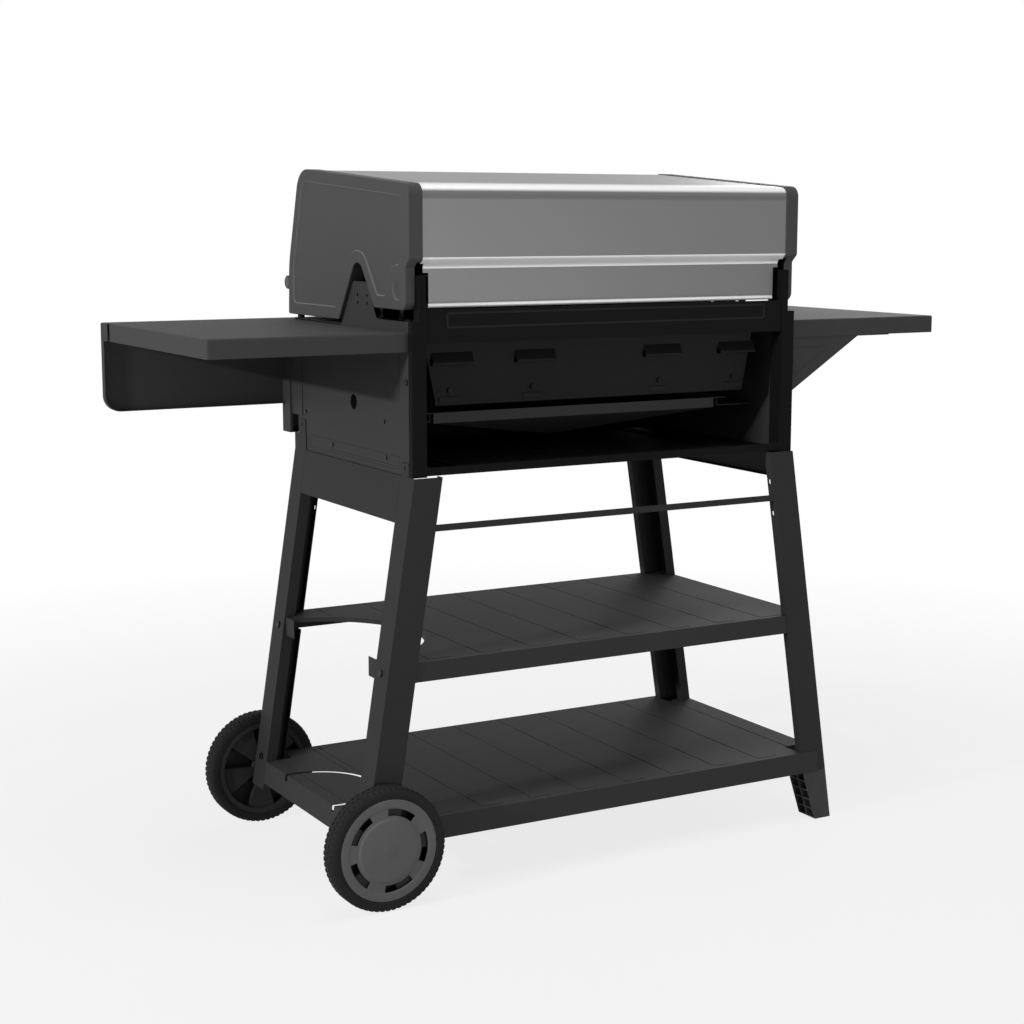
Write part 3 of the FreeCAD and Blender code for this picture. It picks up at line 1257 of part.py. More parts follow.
def firebox():
    outer = tub_solid(0, TUB_LOW_Z, TUB_TOP_Z)
    inner = tub_solid(TUB_WALL, TUB_LOW_Z + TUB_WALL, TUB_TOP_Z + PAST)
    rim = box(-SIDE_IN_X, SIDE_IN_X, RIM_FRONT_Y, RIM_REAR_Y, TUB_TOP_Z - RIM_THICK, TUB_TOP_Z)
    floor_x = TUB_X - TUB_DRAFT_X - TUB_FLOOR_LIP
    floor_y = TUB_Y - TUB_DRAFT_Y - TUB_FLOOR_LIP
    opening = box(-floor_x, floor_x, -floor_y, floor_y, TUB_LOW_Z - PAST, TUB_LOW_Z + TUB_WALL + PAST)
    pieces = [join([outer, rim]).cut(inner).cut(opening), rim_lip(), end_guard()]
    for z in (TENT_LEDGE_Z, GRATE_LEDGE_Z):
        wall = tub_rear_y(z) - TUB_WALL
        for y0, y1 in ((wall - LEDGE_REACH, wall + PAST), (-wall - PAST, LEDGE_REACH - wall)):
            pieces.append(box(-TUB_X, TUB_X, y0, y1, z - LEDGE_THICK, z).common(outer))
    bump_z = BURNER_Z - BUMP_DROP
    bump_y = tub_rear_y(bump_z)
    half_x = BUMP_WIDTH / 2
    half_z = BUMP_HEIGHT / 2
    far = TUB_Y + TUB_DRAFT_Y
    cuts = []
    for x in BURNER_XS:
        flap, room = vent_hood(x)
        bump = rectangle(x - half_x, x + half_x, bump_z - half_z, bump_z + half_z, BUMP_CORNER)
        pieces += [flap, slab_y(bump, bump_y - TUB_WALL, bump_y + BUMP_PROUD)]
        cuts.append(room)
        cuts.append(rod((x, TUB_Y / 2, BURNER_Z), (x, far, BURNER_Z), BURNER_PIN_R + FIT))
        cuts.append(rod((x, -far, BURNER_Z), (x, -TUB_Y / 2, BURNER_Z), BURNER_R + FIT))
    solid = join(pieces)
    for cut in cuts:
        solid = solid.cut(cut)
    return solid


def burners():
    made = []
    mouth_end = BURNER_FRONT_Y + BURNER_MOUTH
    pin_end = tub_rear_y(BURNER_Z) + BURNER_PIN_PROUD
    for x in BURNER_XS:
        tube = rod((x, BURNER_FRONT_Y, BURNER_Z), (x, BURNER_REAR_Y, BURNER_Z), BURNER_R)
        mouth = rod((x, BURNER_FRONT_Y - PAST, BURNER_Z), (x, mouth_end, BURNER_Z), BURNER_R - BURNER_WALL)
        pin = rod((x, BURNER_REAR_Y - PAST, BURNER_Z), (x, pin_end, BURNER_Z), BURNER_PIN_R)
        made.append(join([tube, pin]).cut(mouth))
    return group(made)


def heat_tents():
    half_y = tub_rear_y(TENT_LEDGE_Z) - TUB_WALL - TENT_END_GAP
    t = SHEET
    low = TENT_LEDGE_Z
    top = low + TENT_RISE
    made = []
    for x in BURNER_XS:
        left = x - TENT_HALF
        right = x + TENT_HALF
        points = [(left, low), (left + 2 * t, low), (x, top - t), (right - 2 * t, low), (right, low), (x, top)]
        made.append(slab_y(points, -half_y, half_y))
    return group(made)


def cooking_grates():
    low = GRATE_LEDGE_Z
    top = low + GRATE_HEIGHT
    half_y = tub_rear_y(low) - TUB_WALL - GRATE_EDGE_GAP
    half_x = TUB_X - TUB_DRAFT_X * tub_drop(low) - GRATE_EDGE_GAP
    pitch = 2 * half_x / GRATE_COUNT
    width = pitch - GRATE_MID_GAP
    b = GRATE_BAR
    count = int((pitch - b) // GRATE_PITCH)
    made = []
    for k in range(GRATE_COUNT):
        x0 = k * pitch - half_x + GRATE_MID_GAP / 2
        x1 = x0 + width
        frame = box(x0, x1, -half_y, half_y, low, top)
        inside = box(x0 + b, x1 - b, b - half_y, half_y - b, low - PAST, top + PAST)
        bars = [frame.cut(inside)]
        bars.append(box(x0 + PAST, x1 - PAST, -b / 2, b / 2, low, top - GRATE_BRIDGE_DROP))
        for i in range(1, count):
            mid = x0 + b / 2 + i * (width - b) / count
            bars.append(box(mid - b / 2, mid + b / 2, PAST - half_y, half_y - PAST, low, top))
        made.append(join(bars))
    return group(made)


def warming_rack():
    half = RACK_BAR / 2
    front = RACK_FRONT_Y
    rear = front + RACK_DEPTH
    bars = []
    for x in (-RACK_X, RACK_X):
        bars.append(box(x - half, x + half, front, rear, RACK_Z - half, RACK_Z + half))
        for y in (front + RACK_LEG_INSET, rear - RACK_LEG_INSET):
            bars.append(box(x - half, x + half, y - half, y + half, TUB_TOP_Z, RACK_Z))
    pitch = (RACK_DEPTH - 2 * RACK_BAR) / (RACK_WIRES - 1)
    for k in range(RACK_WIRES):
        y = front + RACK_BAR + k * pitch
        bars.append(rod((-RACK_X, y, RACK_Z), (RACK_X, y, RACK_Z), RACK_WIRE_R))
    return join(bars)


def grease_tray():
    """Inverted pyramid pan that hangs by its flange on two side rails and drains to a well."""
    t = TRAY_SHEET
    knee = TRAY_RIM_Z - TRAY_RIM_HEIGHT
    d = TRAY_WELL_HALF

    def hopper(shrink, lift):
        wide = (-TRAY_X + shrink, TRAY_X - shrink, TRAY_FRONT_Y + shrink, TRAY_REAR_Y - shrink)
        narrow = (-d + shrink, d - shrink, TRAY_MID_Y - d + shrink, TRAY_MID_Y + d - shrink)
        return frustum(narrow, TRAY_WELL_Z + lift, wide, knee + lift)

    def band(shrink, low, top):
        return box(-TRAY_X + shrink, TRAY_X - shrink, TRAY_FRONT_Y + shrink, TRAY_REAR_Y - shrink, low, top)

    outside = join([hopper(0, 0), band(0, knee, TRAY_RIM_Z)])
    reach = TRAY_X + TRAY_FLANGE
    flange = box(-reach, reach, TRAY_FRONT_Y, TRAY_REAR_Y, TRAY_RIM_Z, TRAY_RIM_Z + t)
    inside = join([hopper(t, t), band(t, knee + t, TRAY_RIM_Z + t + PAST)])
    return join([outside, flange]).cut(inside)


# Lid

def lid_points(notch):
    """Side profile of the lid; with the arched notch that clears the spit bracket, or plain."""
    step_y = LID_REAR_Y - LID_STEP
    bend_z = LID_FRONT_LOW_Z + LID_BEND_SHARE * (LID_FRONT_TOP_Z - LID_FRONT_LOW_Z)
    points = [(step_y, LID_REAR_LOW_Z, LID_REAR_LOW_R)]
    if notch:
        points += [(NOTCH_REAR_Y, LID_REAR_LOW_Z, NOTCH_REAR_R), (NOTCH_APEX_Y, NOTCH_APEX_Z, NOTCH_R)]
        points += [(NOTCH_FRONT_Y, LID_FRONT_LOW_Z, NOTCH_FRONT_R)]
    points += [(LID_FRONT_Y, LID_FRONT_LOW_Z, LID_FRONT_LOW_R)]
    points += [(LID_FRONT_Y + LID_FRONT_LEAN, bend_z, LID_FRONT_BEND_R)]
    points += [(LID_FRONT_Y + LID_BROW, LID_FRONT_TOP_Z, LID_BROW_R)]
    points += [(LID_REAR_Y, LID_REAR_TOP_Z, LID_REAR_TOP_R), (LID_REAR_Y, LID_STEP_Z, LID_STEP_R)]
    points += [(step_y, LID_STEP_Z - LID_STEP_SLOPE, LID_STEP_R)]
    return points


def lid_face(distance, x, notch):
    plain = face(lid_points(notch), on_x(x))
    return inset(plain, distance) if distance > 0 else plain


def cap_field():
    """Round-cornered field to sink into the outside of a lid end, clear of its edges and of the pivot."""
    x = CAP_OUT_X + PAST
    pivot = Part.Face(Part.Wire(Part.makeCircle(CAP_FIELD_PIVOT_R, V(x, HINGE_Y, HINGE_Z), V(1, 0, 0))))
    plain = lid_face(CAP_FIELD_EDGE, x, True).cut(pivot).Faces[0]
    return inset(inset(plain, CAP_FIELD_R), -CAP_FIELD_R).extrude(V(-PAST - CAP_FIELD_DEPTH, 0, 0))


def lid_cap():
    """Right-hand cast end of the lid: a wall with a rim round it and a boss for the hinge pin."""
    solid = lid_face(0, CAP_IN_X, True).extrude(V(CAP_WIDTH, 0, 0))
    wall_in = CAP_OUT_X - CAP_WALL
    hollow_x = CAP_IN_X - PAST
    hollow = lid_face(CAP_RIM, hollow_x, True).extrude(V(wall_in - hollow_x, 0, 0))
    ear_x = POST_IN_X + EAR_WIDTH + EAR_CLEAR
    room_low = LID_FRONT_LOW_Z - PAST
    room_top = LID_STEP_Z - EAR_ROOM_DROP
    ear_room = box(hollow_x, ear_x, HINGE_Y - EAR_ROOM_DEPTH, LID_REAR_Y + PAST, room_low, room_top)
    boss = rod((ear_x, HINGE_Y, HINGE_Z), (wall_in + PAST, HINGE_Y, HINGE_Z), HINGE_BOSS_R)
    bore = rod((hollow_x, HINGE_Y, HINGE_Z), (wall_in, HINGE_Y, HINGE_Z), HINGE_PIN_R + RUN_FIT)
    solid = join([solid.cut(hollow).cut(ear_room), boss]).cut(bore)
    past_x = CAP_OUT_X + PAST
    dish = rod((CAP_OUT_X - PIVOT_DISH_DEPTH, HINGE_Y, HINGE_Z), (past_x, HINGE_Y, HINGE_Z), PIVOT_DISH_R)
    return solid.cut(cap_field()).cut(dish)


def lid_skin():
    """Brushed sheet bent over the lid, with a rolled lower edge and corner notches for the hinge ears."""
    half = CAP_IN_X
    past = half + PAST
    outer = lid_block()
    inner = lid_face(SKIN_INSET + SKIN_SHEET, -past, False).extrude(V(2 * past, 0, 0))
    front_in = LID_FRONT_Y + SKIN_INSET + 2 * SKIN_SHEET
    rear_out = LID_REAR_Y - LID_STEP - SKIN_INSET
    rear_in = rear_out - SKIN_SHEET
    low = LID_FRONT_LOW_Z - PAST
    bead_z = LID_REAR_LOW_Z + BEAD_LIFT
    lift = 2 * BEAD_LIFT
    mouth = [(front_in, low), (rear_in, low), (rear_in, LID_REAR_LOW_Z + lift)]
    mouth += [(front_in, LID_FRONT_LOW_Z + lift)]
    corner = box(-past, past, rear_out - LID_STEP, rear_out + PAST, LID_REAR_LOW_Z - PAST, bead_z)
    sheet = outer.cut(inner).cut(slab_x(mouth, -past, past)).cut(corner)
    bead = rod((-half, rear_out - BEAD_R, bead_z), (half, rear_out - BEAD_R, bead_z), BEAD_R)
    sheet = join([sheet, bead])
    corners = [(SKIN_NOTCH_X, EAR_TOP_Z + SKIN_EAR_RISE)]
    corners += [(POST_IN_X - SKIN_INSET, LID_STEP_Z - SKIN_STEP_GAP)]
    cuts = []
    for s in (1, -1):
        for edge, top in corners:
            xs = sorted((s * edge, s * past))
            cuts.append(box(xs[0], xs[1], HINGE_Y - SKIN_NOTCH_DEPTH, LID_REAR_Y + PAST, low, top))
    return sheet.cut(group(cuts))


def lid_block():
    """Full outline of the skin, also used to seat pieces on its curved front."""
    return lid_face(SKIN_INSET, -CAP_IN_X, False).extrude(V(2 * CAP_IN_X, 0, 0))


def handle_bar():
    return rod((-HANDLE_HALF, HANDLE_Y, HANDLE_Z), (HANDLE_HALF, HANDLE_Y, HANDLE_Z), HANDLE_R)


def lid_handle():
    tube = handle_bar()
    ends = [e for e in tube.Edges if e.BoundBox.XLength < PAST]
    return tube.makeFillet(HANDLE_END_R, ends)


def handle_posts():
    made = []
    half = HANDLE_POST_WIDTH / 2
    root = HANDLE_POST_ROOT / 2
    root_y = LID_FRONT_Y + HANDLE_POST_SINK
    arm = [(HANDLE_Y, HANDLE_Z - half, HANDLE_POST_R), (root_y, HANDLE_Z - root), (root_y, HANDLE_Z + root)]
    arm += [(HANDLE_Y, HANDLE_Z + half, HANDLE_POST_R)]
    for x in (-HANDLE_POST_X, HANDLE_POST_X):
        made.append(slab_x(arm, x - half, x + half).cut(lid_block()).cut(handle_bar()))
    return group(made)


def thermometer():
    front = LID_FRONT_Y - DIAL_PROUD
    root = LID_FRONT_Y + DIAL_ROOT
    ring = DIAL_R - DIAL_RING
    profile = [(0, front + DIAL_SINK), (ring, front + DIAL_SINK), (ring, front), (DIAL_R, front, DIAL_EDGE_R)]
    profile += [(DIAL_R, root), (0, root)]
    return turned(profile, 0, DIAL_Z).cut(lid_block())


def hinge_pins():
    made = []
    end = CAP_OUT_X - CAP_WALL - FIT
    for s in (1, -1):
        head_start = (s * (POST_IN_X - HINGE_HEAD), HINGE_Y, HINGE_Z)
        head = rod(head_start, (s * POST_IN_X, HINGE_Y, HINGE_Z), 2 * HINGE_PIN_R)
        shank = rod((s * (POST_IN_X - PAST), HINGE_Y, HINGE_Z), (s * end, HINGE_Y, HINGE_Z), HINGE_PIN_R)
        made.append(join([head, shank]))
    return group(made)


def lid_bumpers():
    made = []
    pad_x = (CAP_IN_X + SIDE_IN_X) / 2
    height = LID_FRONT_LOW_Z - FIT - TUB_TOP_Z
    for x in (-pad_x, pad_x):
        made.append(Part.makeCylinder(BUMPER_R, height, V(x, LID_FRONT_Y + BUMPER_INSET, TUB_TOP_Z)))
    return group(made)


# Fasteners

def frame_bolts():
    """Round-headed bolts on the leaning side faces of the legs, one at each shelf."""
    made = []
    mid_y = LEG_INSIDE_Y + LEG_DEPTH * BOLT_SIDE_SHARE
    for z in (UPPER_SHELF_Z - UPPER_SKIRT / 2, LOWER_SHELF_Z + BOLT_LIFT):
        head = Part.makeCylinder(BOLT_R, BOLT_HEAD, V(leg_out(z), mid_y, z), LEG_NORMAL)
        for shape in (head, flip_y(head)):
            made += [shape, flip_x(shape)]
    return group(made)


def panel_screws():
    made = []
    far = SIDE_X + SCREW_PROUD
    for y, rise in SCREW_PLACES:
        z = LEG_TOP_Z + rise
        screw = rod((SIDE_X, y, z), (far, y, z), SCREW_R)
        made += [screw, flip_x(screw)]
    y, rise = LARGE_SCREW_PLACE
    z = LEG_TOP_Z + rise
    made.append(rod((SIDE_X, y, z), (far, y, z), LARGE_SCREW_R))
    return group(made)


def both_sides(name, shape):
    return {name + "_right": shape, name + "_left": flip_x(shape)}


def build():
    nodes = {}
    nodes.update(legs())
    nodes["foot_rear_left"] = flip_x(foot())
    nodes["foot_front_left"] = flip_y(flip_x(foot()))
    nodes["end_plate_right"] = end_plate(END_PLATE_LOW_Z)
    nodes["end_plate_left"] = flip_x(end_plate(END_PLATE_LEFT_LOW_Z))
    nodes["rear_brace"] = rear_brace()
    nodes["lower_shelf"] = lower_shelf()
    nodes["upper_shelf"] = upper_shelf()
    nodes["axle"] = axle()
    for name, shape in (("tyre", tyre()), ("wheel_hub", hub()), ("hub_cap", hub_cap())):
        nodes[name + "_rear"] = shape
        nodes[name + "_front"] = flip_y(shape)
    nodes.update(both_sides("side_panel", side_panel()))
    nodes.update(both_sides("rear_post", rear_post()))
    nodes["back_panel"] = back_panel()
    nodes["base_frame"] = base_frame()
    nodes["base_plate"] = base_plate()
    nodes.update(both_sides("side_table", side_table()))
    nodes.update(both_sides("table_fascia", table_fascia()))
    nodes["table_bracket"] = flip_x(table_bracket())
    nodes["control_panel"] = control_panel()
    nodes.update(both_sides("control_box_end", control_box_end()))
    nodes["knob_bezels"] = knob_bezels()
    for number, x in enumerate(BURNER_XS, 1):
        nodes["burner_knob_%d" % number] = knob(x)
    nodes["igniter_button"] = igniter_button()
    nodes["igniter_body"] = igniter_body()
    nodes["gas_valves"] = gas_valves()
    nodes["manifold"] = manifold()
    nodes["gas_inlet"] = gas_inlet()
    nodes["firebox"] = firebox()
    nodes["burners"] = burners()
    nodes["heat_tents"] = heat_tents()
    nodes["cooking_grates"] = cooking_grates()
    nodes["warming_rack"] = warming_rack()
    nodes["grease_tray"] = grease_tray()
    nodes.update(both_sides("lid_cap", lid_cap()))
    nodes["lid_skin"] = lid_skin()
    nodes["lid_handle"] = lid_handle()
    nodes["handle_posts"] = handle_posts()
    nodes["thermometer"] = thermometer()
    nodes["hinge_pins"] = hinge_pins()
    nodes["lid_bumpers"] = lid_bumpers()
    nodes["frame_bolts"] = frame_bolts()
    nodes["panel_screws"] = panel_screws()
    return nodes


os.makedirs("parts", exist_ok=True)
for node, shape in build().items():
    placed = shape.copy()
    placed.translate(V(0, ORIGIN_SHIFT_Y, 0))
    placed.exportStep("parts/%s.step" % node)
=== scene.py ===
# %% [markdown]
# # Dressing a gas grill
# The frame holds every solid piece of the grill at its real size. This lesson gives each of them a finish, rebuilds
# the pieces whose looks need finer forms, and sets the light and the camera. All lengths are metres.

# %% Load the frame
import json
import math

import bmesh
import bpy
from mathutils import Matrix, Vector


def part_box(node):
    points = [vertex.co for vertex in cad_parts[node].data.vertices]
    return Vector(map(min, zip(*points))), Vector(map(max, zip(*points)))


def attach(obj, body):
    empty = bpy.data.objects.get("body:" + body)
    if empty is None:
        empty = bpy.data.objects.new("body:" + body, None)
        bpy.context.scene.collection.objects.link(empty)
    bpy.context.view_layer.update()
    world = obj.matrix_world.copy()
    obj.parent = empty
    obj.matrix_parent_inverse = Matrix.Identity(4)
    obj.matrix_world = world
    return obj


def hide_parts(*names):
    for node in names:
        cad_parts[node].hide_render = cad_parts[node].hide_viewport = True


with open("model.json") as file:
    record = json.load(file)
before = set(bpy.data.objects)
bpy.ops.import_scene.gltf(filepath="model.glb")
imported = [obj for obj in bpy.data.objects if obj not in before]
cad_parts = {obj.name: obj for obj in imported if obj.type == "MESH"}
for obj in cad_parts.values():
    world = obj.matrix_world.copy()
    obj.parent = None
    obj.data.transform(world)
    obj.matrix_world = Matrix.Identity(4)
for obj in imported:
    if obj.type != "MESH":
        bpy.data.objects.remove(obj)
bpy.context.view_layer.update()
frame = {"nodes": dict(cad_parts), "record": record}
MM = 0.001

# %% [markdown]
# ## Camera
# The view is from behind, a little above the table tops, with the wheel end nearer. A long lens keeps the legs nearly
# parallel. The camera could be turned by three angles, but a track quaternion needs only a place and a target.

# %% Camera
CAMERA_PLACE = Vector((1.66713, 2.84597, 1.08120))
CAMERA_TARGET = Vector((0.05774, 0.00921, 0.56727))
CAMERA_ROLL = math.radians(0.07)
FOCAL_PIXELS = 1893.9
IMAGE_PIXELS = 1024
SENSOR = 36.0

lens = bpy.data.cameras.new("rear_view")
lens.sensor_width = SENSOR
lens.lens = FOCAL_PIXELS * SENSOR / IMAGE_PIXELS
camera = bpy.data.objects.new("rear_view", lens)
bpy.context.scene.collection.objects.link(camera)
camera.location = CAMERA_PLACE
camera.rotation_mode = "QUATERNION"
aim = (CAMERA_TARGET - CAMERA_PLACE).to_track_quat("-Z", "Y")
camera.rotation_quaternion = aim @ Matrix.Rotation(CAMERA_ROLL, 3, "Z").to_quaternion()
bpy.context.scene.camera = camera
print("lens mm:", round(lens.lens, 2))

# %% [markdown]
# ## Shader maths
# A finish is a graph of nodes. Its sums could be wired by hand, one Math node at a time, but that is hard to read. A
# small class wraps an output socket instead, so that an expression such as `1 - mask` adds its Math node by itself.


# %% Sockets
class Socket:
    """One output of a node; arithmetic on it adds Math nodes."""

    def __init__(self, graph, out):
        self.graph = graph
        self.out = out

    def maths(self, operation, first, second):
        return self.graph.node("ShaderNodeMath", {"operation": operation}, {0: first, 1: second})

    def __add__(self, other):
        return self.maths("ADD", self, other)

    def __sub__(self, other):
        return self.maths("SUBTRACT", self, other)

    def __rsub__(self, other):
        return self.maths("SUBTRACT", other, self)

    def __mul__(self, other):
        return self.maths("MULTIPLY", self, other)

    def __pow__(self, other):
        return self.maths("POWER", self, other)

    def __abs__(self):
        return self.maths("ABSOLUTE", self, 0.0)

    def above(self, other):
        return self.maths("GREATER_THAN", self, other)

    def below(self, other):
        return self.maths("LESS_THAN", self, other)

    def greater(self, other):
        return self.maths("MAXIMUM", self, other)

    def wrapped(self, step):
        """Distance from the nearest multiple of a step."""
        return self.maths("PINGPONG", self, step / 2)

    __radd__ = __add__
    __rmul__ = __mul__


print("socket class ready")

# %% [markdown]
# ## Node graphs
# Every other node comes from one method, which takes the node's type, its settings and its inputs. The same method
# serves the world and the materials, so it belongs to a plain graph.


# %% Graphs
def grey(value):
    """Neutral colour of one brightness."""
    return (value, value, value, 1.0)


class Graph:
    """A node tree."""

    def __init__(self, tree):
        self.tree = tree

    def node(self, kind, settings=None, inputs=None, output=0):
        """Adds a node of any type and gives one of its outputs."""
        made = self.tree.nodes.new(kind)
        for setting, value in (settings or {}).items():
            if setting == "stops":
                for stop, (position, shade) in zip(made.color_ramp.elements, value):
                    stop.position = position
                    stop.color = grey(shade)
            else:
                setattr(made, setting, value)
        for socket, value in (inputs or {}).items():
            if isinstance(value, Socket):
                self.tree.links.new(value.out, made.inputs[socket])
            else:
                made.inputs[socket].default_value = value
        return Socket(self, made.outputs[output])

    def ramp(self, value, low, high, dark=0.0, light=1.0):
        return self.node("ShaderNodeValToRGB", {"stops": [(low, dark), (high, light)]}, {"Fac": value})

    def looked_at(self):
        """1 where the camera, a reflection or glass sees the surface, 0 where it only gives light."""
        seen = self.node("ShaderNodeLightPath", output="Is Camera Ray")
        for ray in ("Is Glossy Ray", "Is Transmission Ray"):
            seen = seen.greater(self.node("ShaderNodeLightPath", output=ray))
        return seen


print("graph class ready")

# %% [markdown]
# ## Finishes
# A finish is a graph with one Principled shader. Its patterns read the object's own coordinates in metres, so a grain
# has the same size on every piece and stays with the piece when it moves.

# %% Finishes
NOISE_MIDDLE = 0.5


class Finish(Graph):
    """A material with one Principled shader."""

    def __init__(self, name, **sockets):
        self.material = bpy.data.materials.new(name)
        self.material.use_nodes = True
        super().__init__(self.material.node_tree)
        self.shader = self.tree.nodes["Principled BSDF"]
        for socket, value in sockets.items():
            self.shader.inputs[socket.replace("_", " ")].default_value = value
        self.place = self.node("ShaderNodeTexCoord", output="Object")

    def along(self, axis):
        """One of the object coordinates: X, Y or Z."""
        return self.node("ShaderNodeSeparateXYZ", inputs={"Vector": self.place}, output=axis)

    def distance(self, first, second):
        """Length of two offsets at right angles."""
        return (first * first + second * second) ** 0.5

    def stretched(self, scale):
        """Object coordinates scaled by a vector."""
        return self.node("ShaderNodeMapping", inputs={"Vector": self.place, "Scale": scale})

    def noise(self, scale, detail=3.0, where=None, roughness=0.5):
        inputs = {"Vector": where or self.place, "Scale": scale, "Detail": detail, "Roughness": roughness}
        return self.node("ShaderNodeTexNoise", inputs=inputs)

    def swing(self, noise, spread):
        """A noise as a change up or down, as wide as spread in all."""
        return (noise - NOISE_MIDDLE) * spread

    def band(self, value, low, high, fade):
        """1 between two values, fading to 0 outside them."""
        rise = {"Value": value, "From Min": low - fade, "From Max": low, "To Min": 0.0, "To Max": 1.0}
        fall = {"Value": value, "From Min": high, "From Max": high + fade, "To Min": 1.0, "To Max": 0.0}
        smooth = {"interpolation_type": "SMOOTHSTEP"}
        return self.node("ShaderNodeMapRange", smooth, rise) * self.node("ShaderNodeMapRange", smooth, fall)

    def mixed(self, factor, first, second):
        """Colour between two colours."""
        inputs = {"Factor": factor, 6: first, 7: second}
        return self.node("ShaderNodeMix", {"data_type": "RGBA"}, inputs, output=2)

    def feed(self, socket, value):
        self.tree.links.new(value.out, self.shader.inputs[socket])

    def bump(self, height, distance):
        inputs = {"Height": height, "Distance": distance, "Strength": 1.0}
        self.feed("Normal", self.node("ShaderNodeBump", inputs=inputs))


print("finish class ready")

# %% [markdown]
# ## Powder coat and enamel
# Most of the cart is folded sheet with a satin black powder coat. One flat colour would be quicker, but real powder
# coat has a fine orange-peel surface, slow changes of sheen, and a little dust on faces that look up. Three noises of
# different scale give these, and the face's own normal says where dust can lie.

# %% Powder coat
PAINT_IOR = 1.48
CLOUD_SCALE, SPECK_SCALE, PEEL_SCALE = 5.0, 240.0, 1100.0
PEEL_DEPTH = 0.06 * MM
TONE_SPREAD = 0.1
CLOUD_SHEEN, SPECK_SHEEN = 0.12, 0.08
UP_FROM, UP_TO = 0.6, 1.0
DUST_FROM, DUST_TO = 0.35, 0.75
DUSTY = 1.35


def powder_coat(name, shade, roughness=0.55, grain=1.0, dust=0.35, gloss=0.04):
    paint = Finish(name, IOR=PAINT_IOR, Specular_IOR_Level=gloss)
    cloud = paint.noise(CLOUD_SCALE, detail=4.0)
    speck = paint.noise(SPECK_SCALE, detail=2.0)
    tone = paint.mixed(cloud, grey(shade * (1 - TONE_SPREAD)), grey(shade * (1 + TONE_SPREAD)))
    facing = paint.node("ShaderNodeNewGeometry", output="Normal")
    up = paint.node("ShaderNodeSeparateXYZ", inputs={"Vector": facing}, output="Z")
    settled = paint.ramp(up, UP_FROM, UP_TO) * paint.ramp(cloud, DUST_FROM, DUST_TO) * dust
    paint.feed("Base Color", paint.mixed(settled, tone, grey(shade * DUSTY)))
    paint.feed("Roughness", roughness + paint.swing(cloud, CLOUD_SHEEN) + paint.swing(speck, SPECK_SHEEN))
    paint.bump(paint.noise(PEEL_SCALE, detail=2.0), PEEL_DEPTH * grain)
    return paint.material


frame_paint = powder_coat("frame_paint", 0.035)
shelf_paint = powder_coat("shelf_paint", 0.042, roughness=0.6)
panel_paint = powder_coat("panel_paint", 0.042)
table_paint = powder_coat("table_paint", 0.058, roughness=0.65)
post_paint = powder_coat("post_paint", 0.008, gloss=0.03)
shield_paint = powder_coat("shield_paint", 0.009, gloss=0.03)
# Painted highlight for the floor of the back panel's pressed line
pressed_line_highlight = powder_coat("pressed_line_highlight", 0.026, gloss=0.03)
enamel = powder_coat("enamel", 0.018, roughness=0.5, grain=1.6)
# Painted shade: a darker enamel for the firebox's hoods and the inside of its front wall
hood_shade_enamel = powder_coat("hood_shade_enamel", 0.008, grain=1.6, dust=0.1, gloss=0.02)
# Partly painted light: the tray is made paler so that its hopper, which little lamp light reaches, looks lit; an
# aluminised tray is also paler
tray_coat_and_light = powder_coat("tray_coat_and_light", 0.07, roughness=0.5, grain=2.0)
end_paint = powder_coat("end_paint", 0.075, grain=1.8)
# Painted highlight for the rounded edges of the caps' sunk field
cap_edge_highlight = powder_coat("cap_edge_highlight", 0.17, grain=1.8)
print("paints made: 12")

# %% [markdown]
# ## Brushed steel
# The lid is brushed stainless steel, with the brush lines along the lid. An image of brushed metal could be laid over
# it, but stretching one noise hundreds of times longer along X than across gives such lines at any size, and they
# steer both the tone and the roughness. A list of masks can change the metal in places.

# %% Brushed steel
BRUSH_ALONG_X = (3.0, 1500.0, 1500.0)
STAIN_SCALE = 3.0
BRUSH_SHEEN, STAIN_SHEEN, BRUSH_SHINE = 0.08, 0.06, 0.1
BRUSH_DEPTH = 0.01 * MM
MASK_DULL = 0.5


def brushed_steel(name, shade, roughness, masks, along=BRUSH_ALONG_X, contrast=0.05, edge=0.6, shine=0.95, gloss=0.5):
    metal = Finish(name, Specular_Tint=grey(edge), Specular_IOR_Level=gloss)
    lines = metal.noise(1.0, detail=5.0, where=metal.stretched(along), roughness=0.7)
    stain = metal.noise(STAIN_SCALE, detail=2.0)
    tone = metal.mixed(lines, grey(shade * (1 - contrast)), grey(shade * (1 + contrast)))
    mirror = shine + metal.swing(lines, BRUSH_SHINE)
    # Each mask paints a brightness into the tone: painted highlights and painted shade on the lid and burners, and the
    # handle's dark plugs
    for mask, bright in masks(metal):
        tone = metal.mixed(mask, tone, grey(bright))
        mirror = mirror - mask * MASK_DULL
    metal.feed("Metallic", mirror)
    metal.feed("Base Color", tone)
    metal.feed("Roughness", roughness + metal.swing(lines, BRUSH_SHEEN) + metal.swing(stain, STAIN_SHEEN))
    metal.bump(lines, BRUSH_DEPTH)
    return metal.material


print("brush lines are longer than wide, times:", BRUSH_ALONG_X[1] / BRUSH_ALONG_X[0])

# %% [markdown]
# ## Lid, handle and burners
# On the rear of the lid the bends are painted paler: painted highlights, where light shines on the folds. The bends
# could be cut out as faces of their own, but bands on the object's height find them without touching the mesh: the
# rear rounding with a line of painted shade below it, the bends of the step and the rolled low edge. The handle has
# dark plugs in its ends. On the burners the pins at the back are painted dark, and so are dots for a row of ports
# along each flank: painted shade, as in holes.

# %% Lid, handle and burner steel
BRUSH_ALONG_Y = (500.0, 4.0, 500.0)
LID_REAR_FROM = 0.18
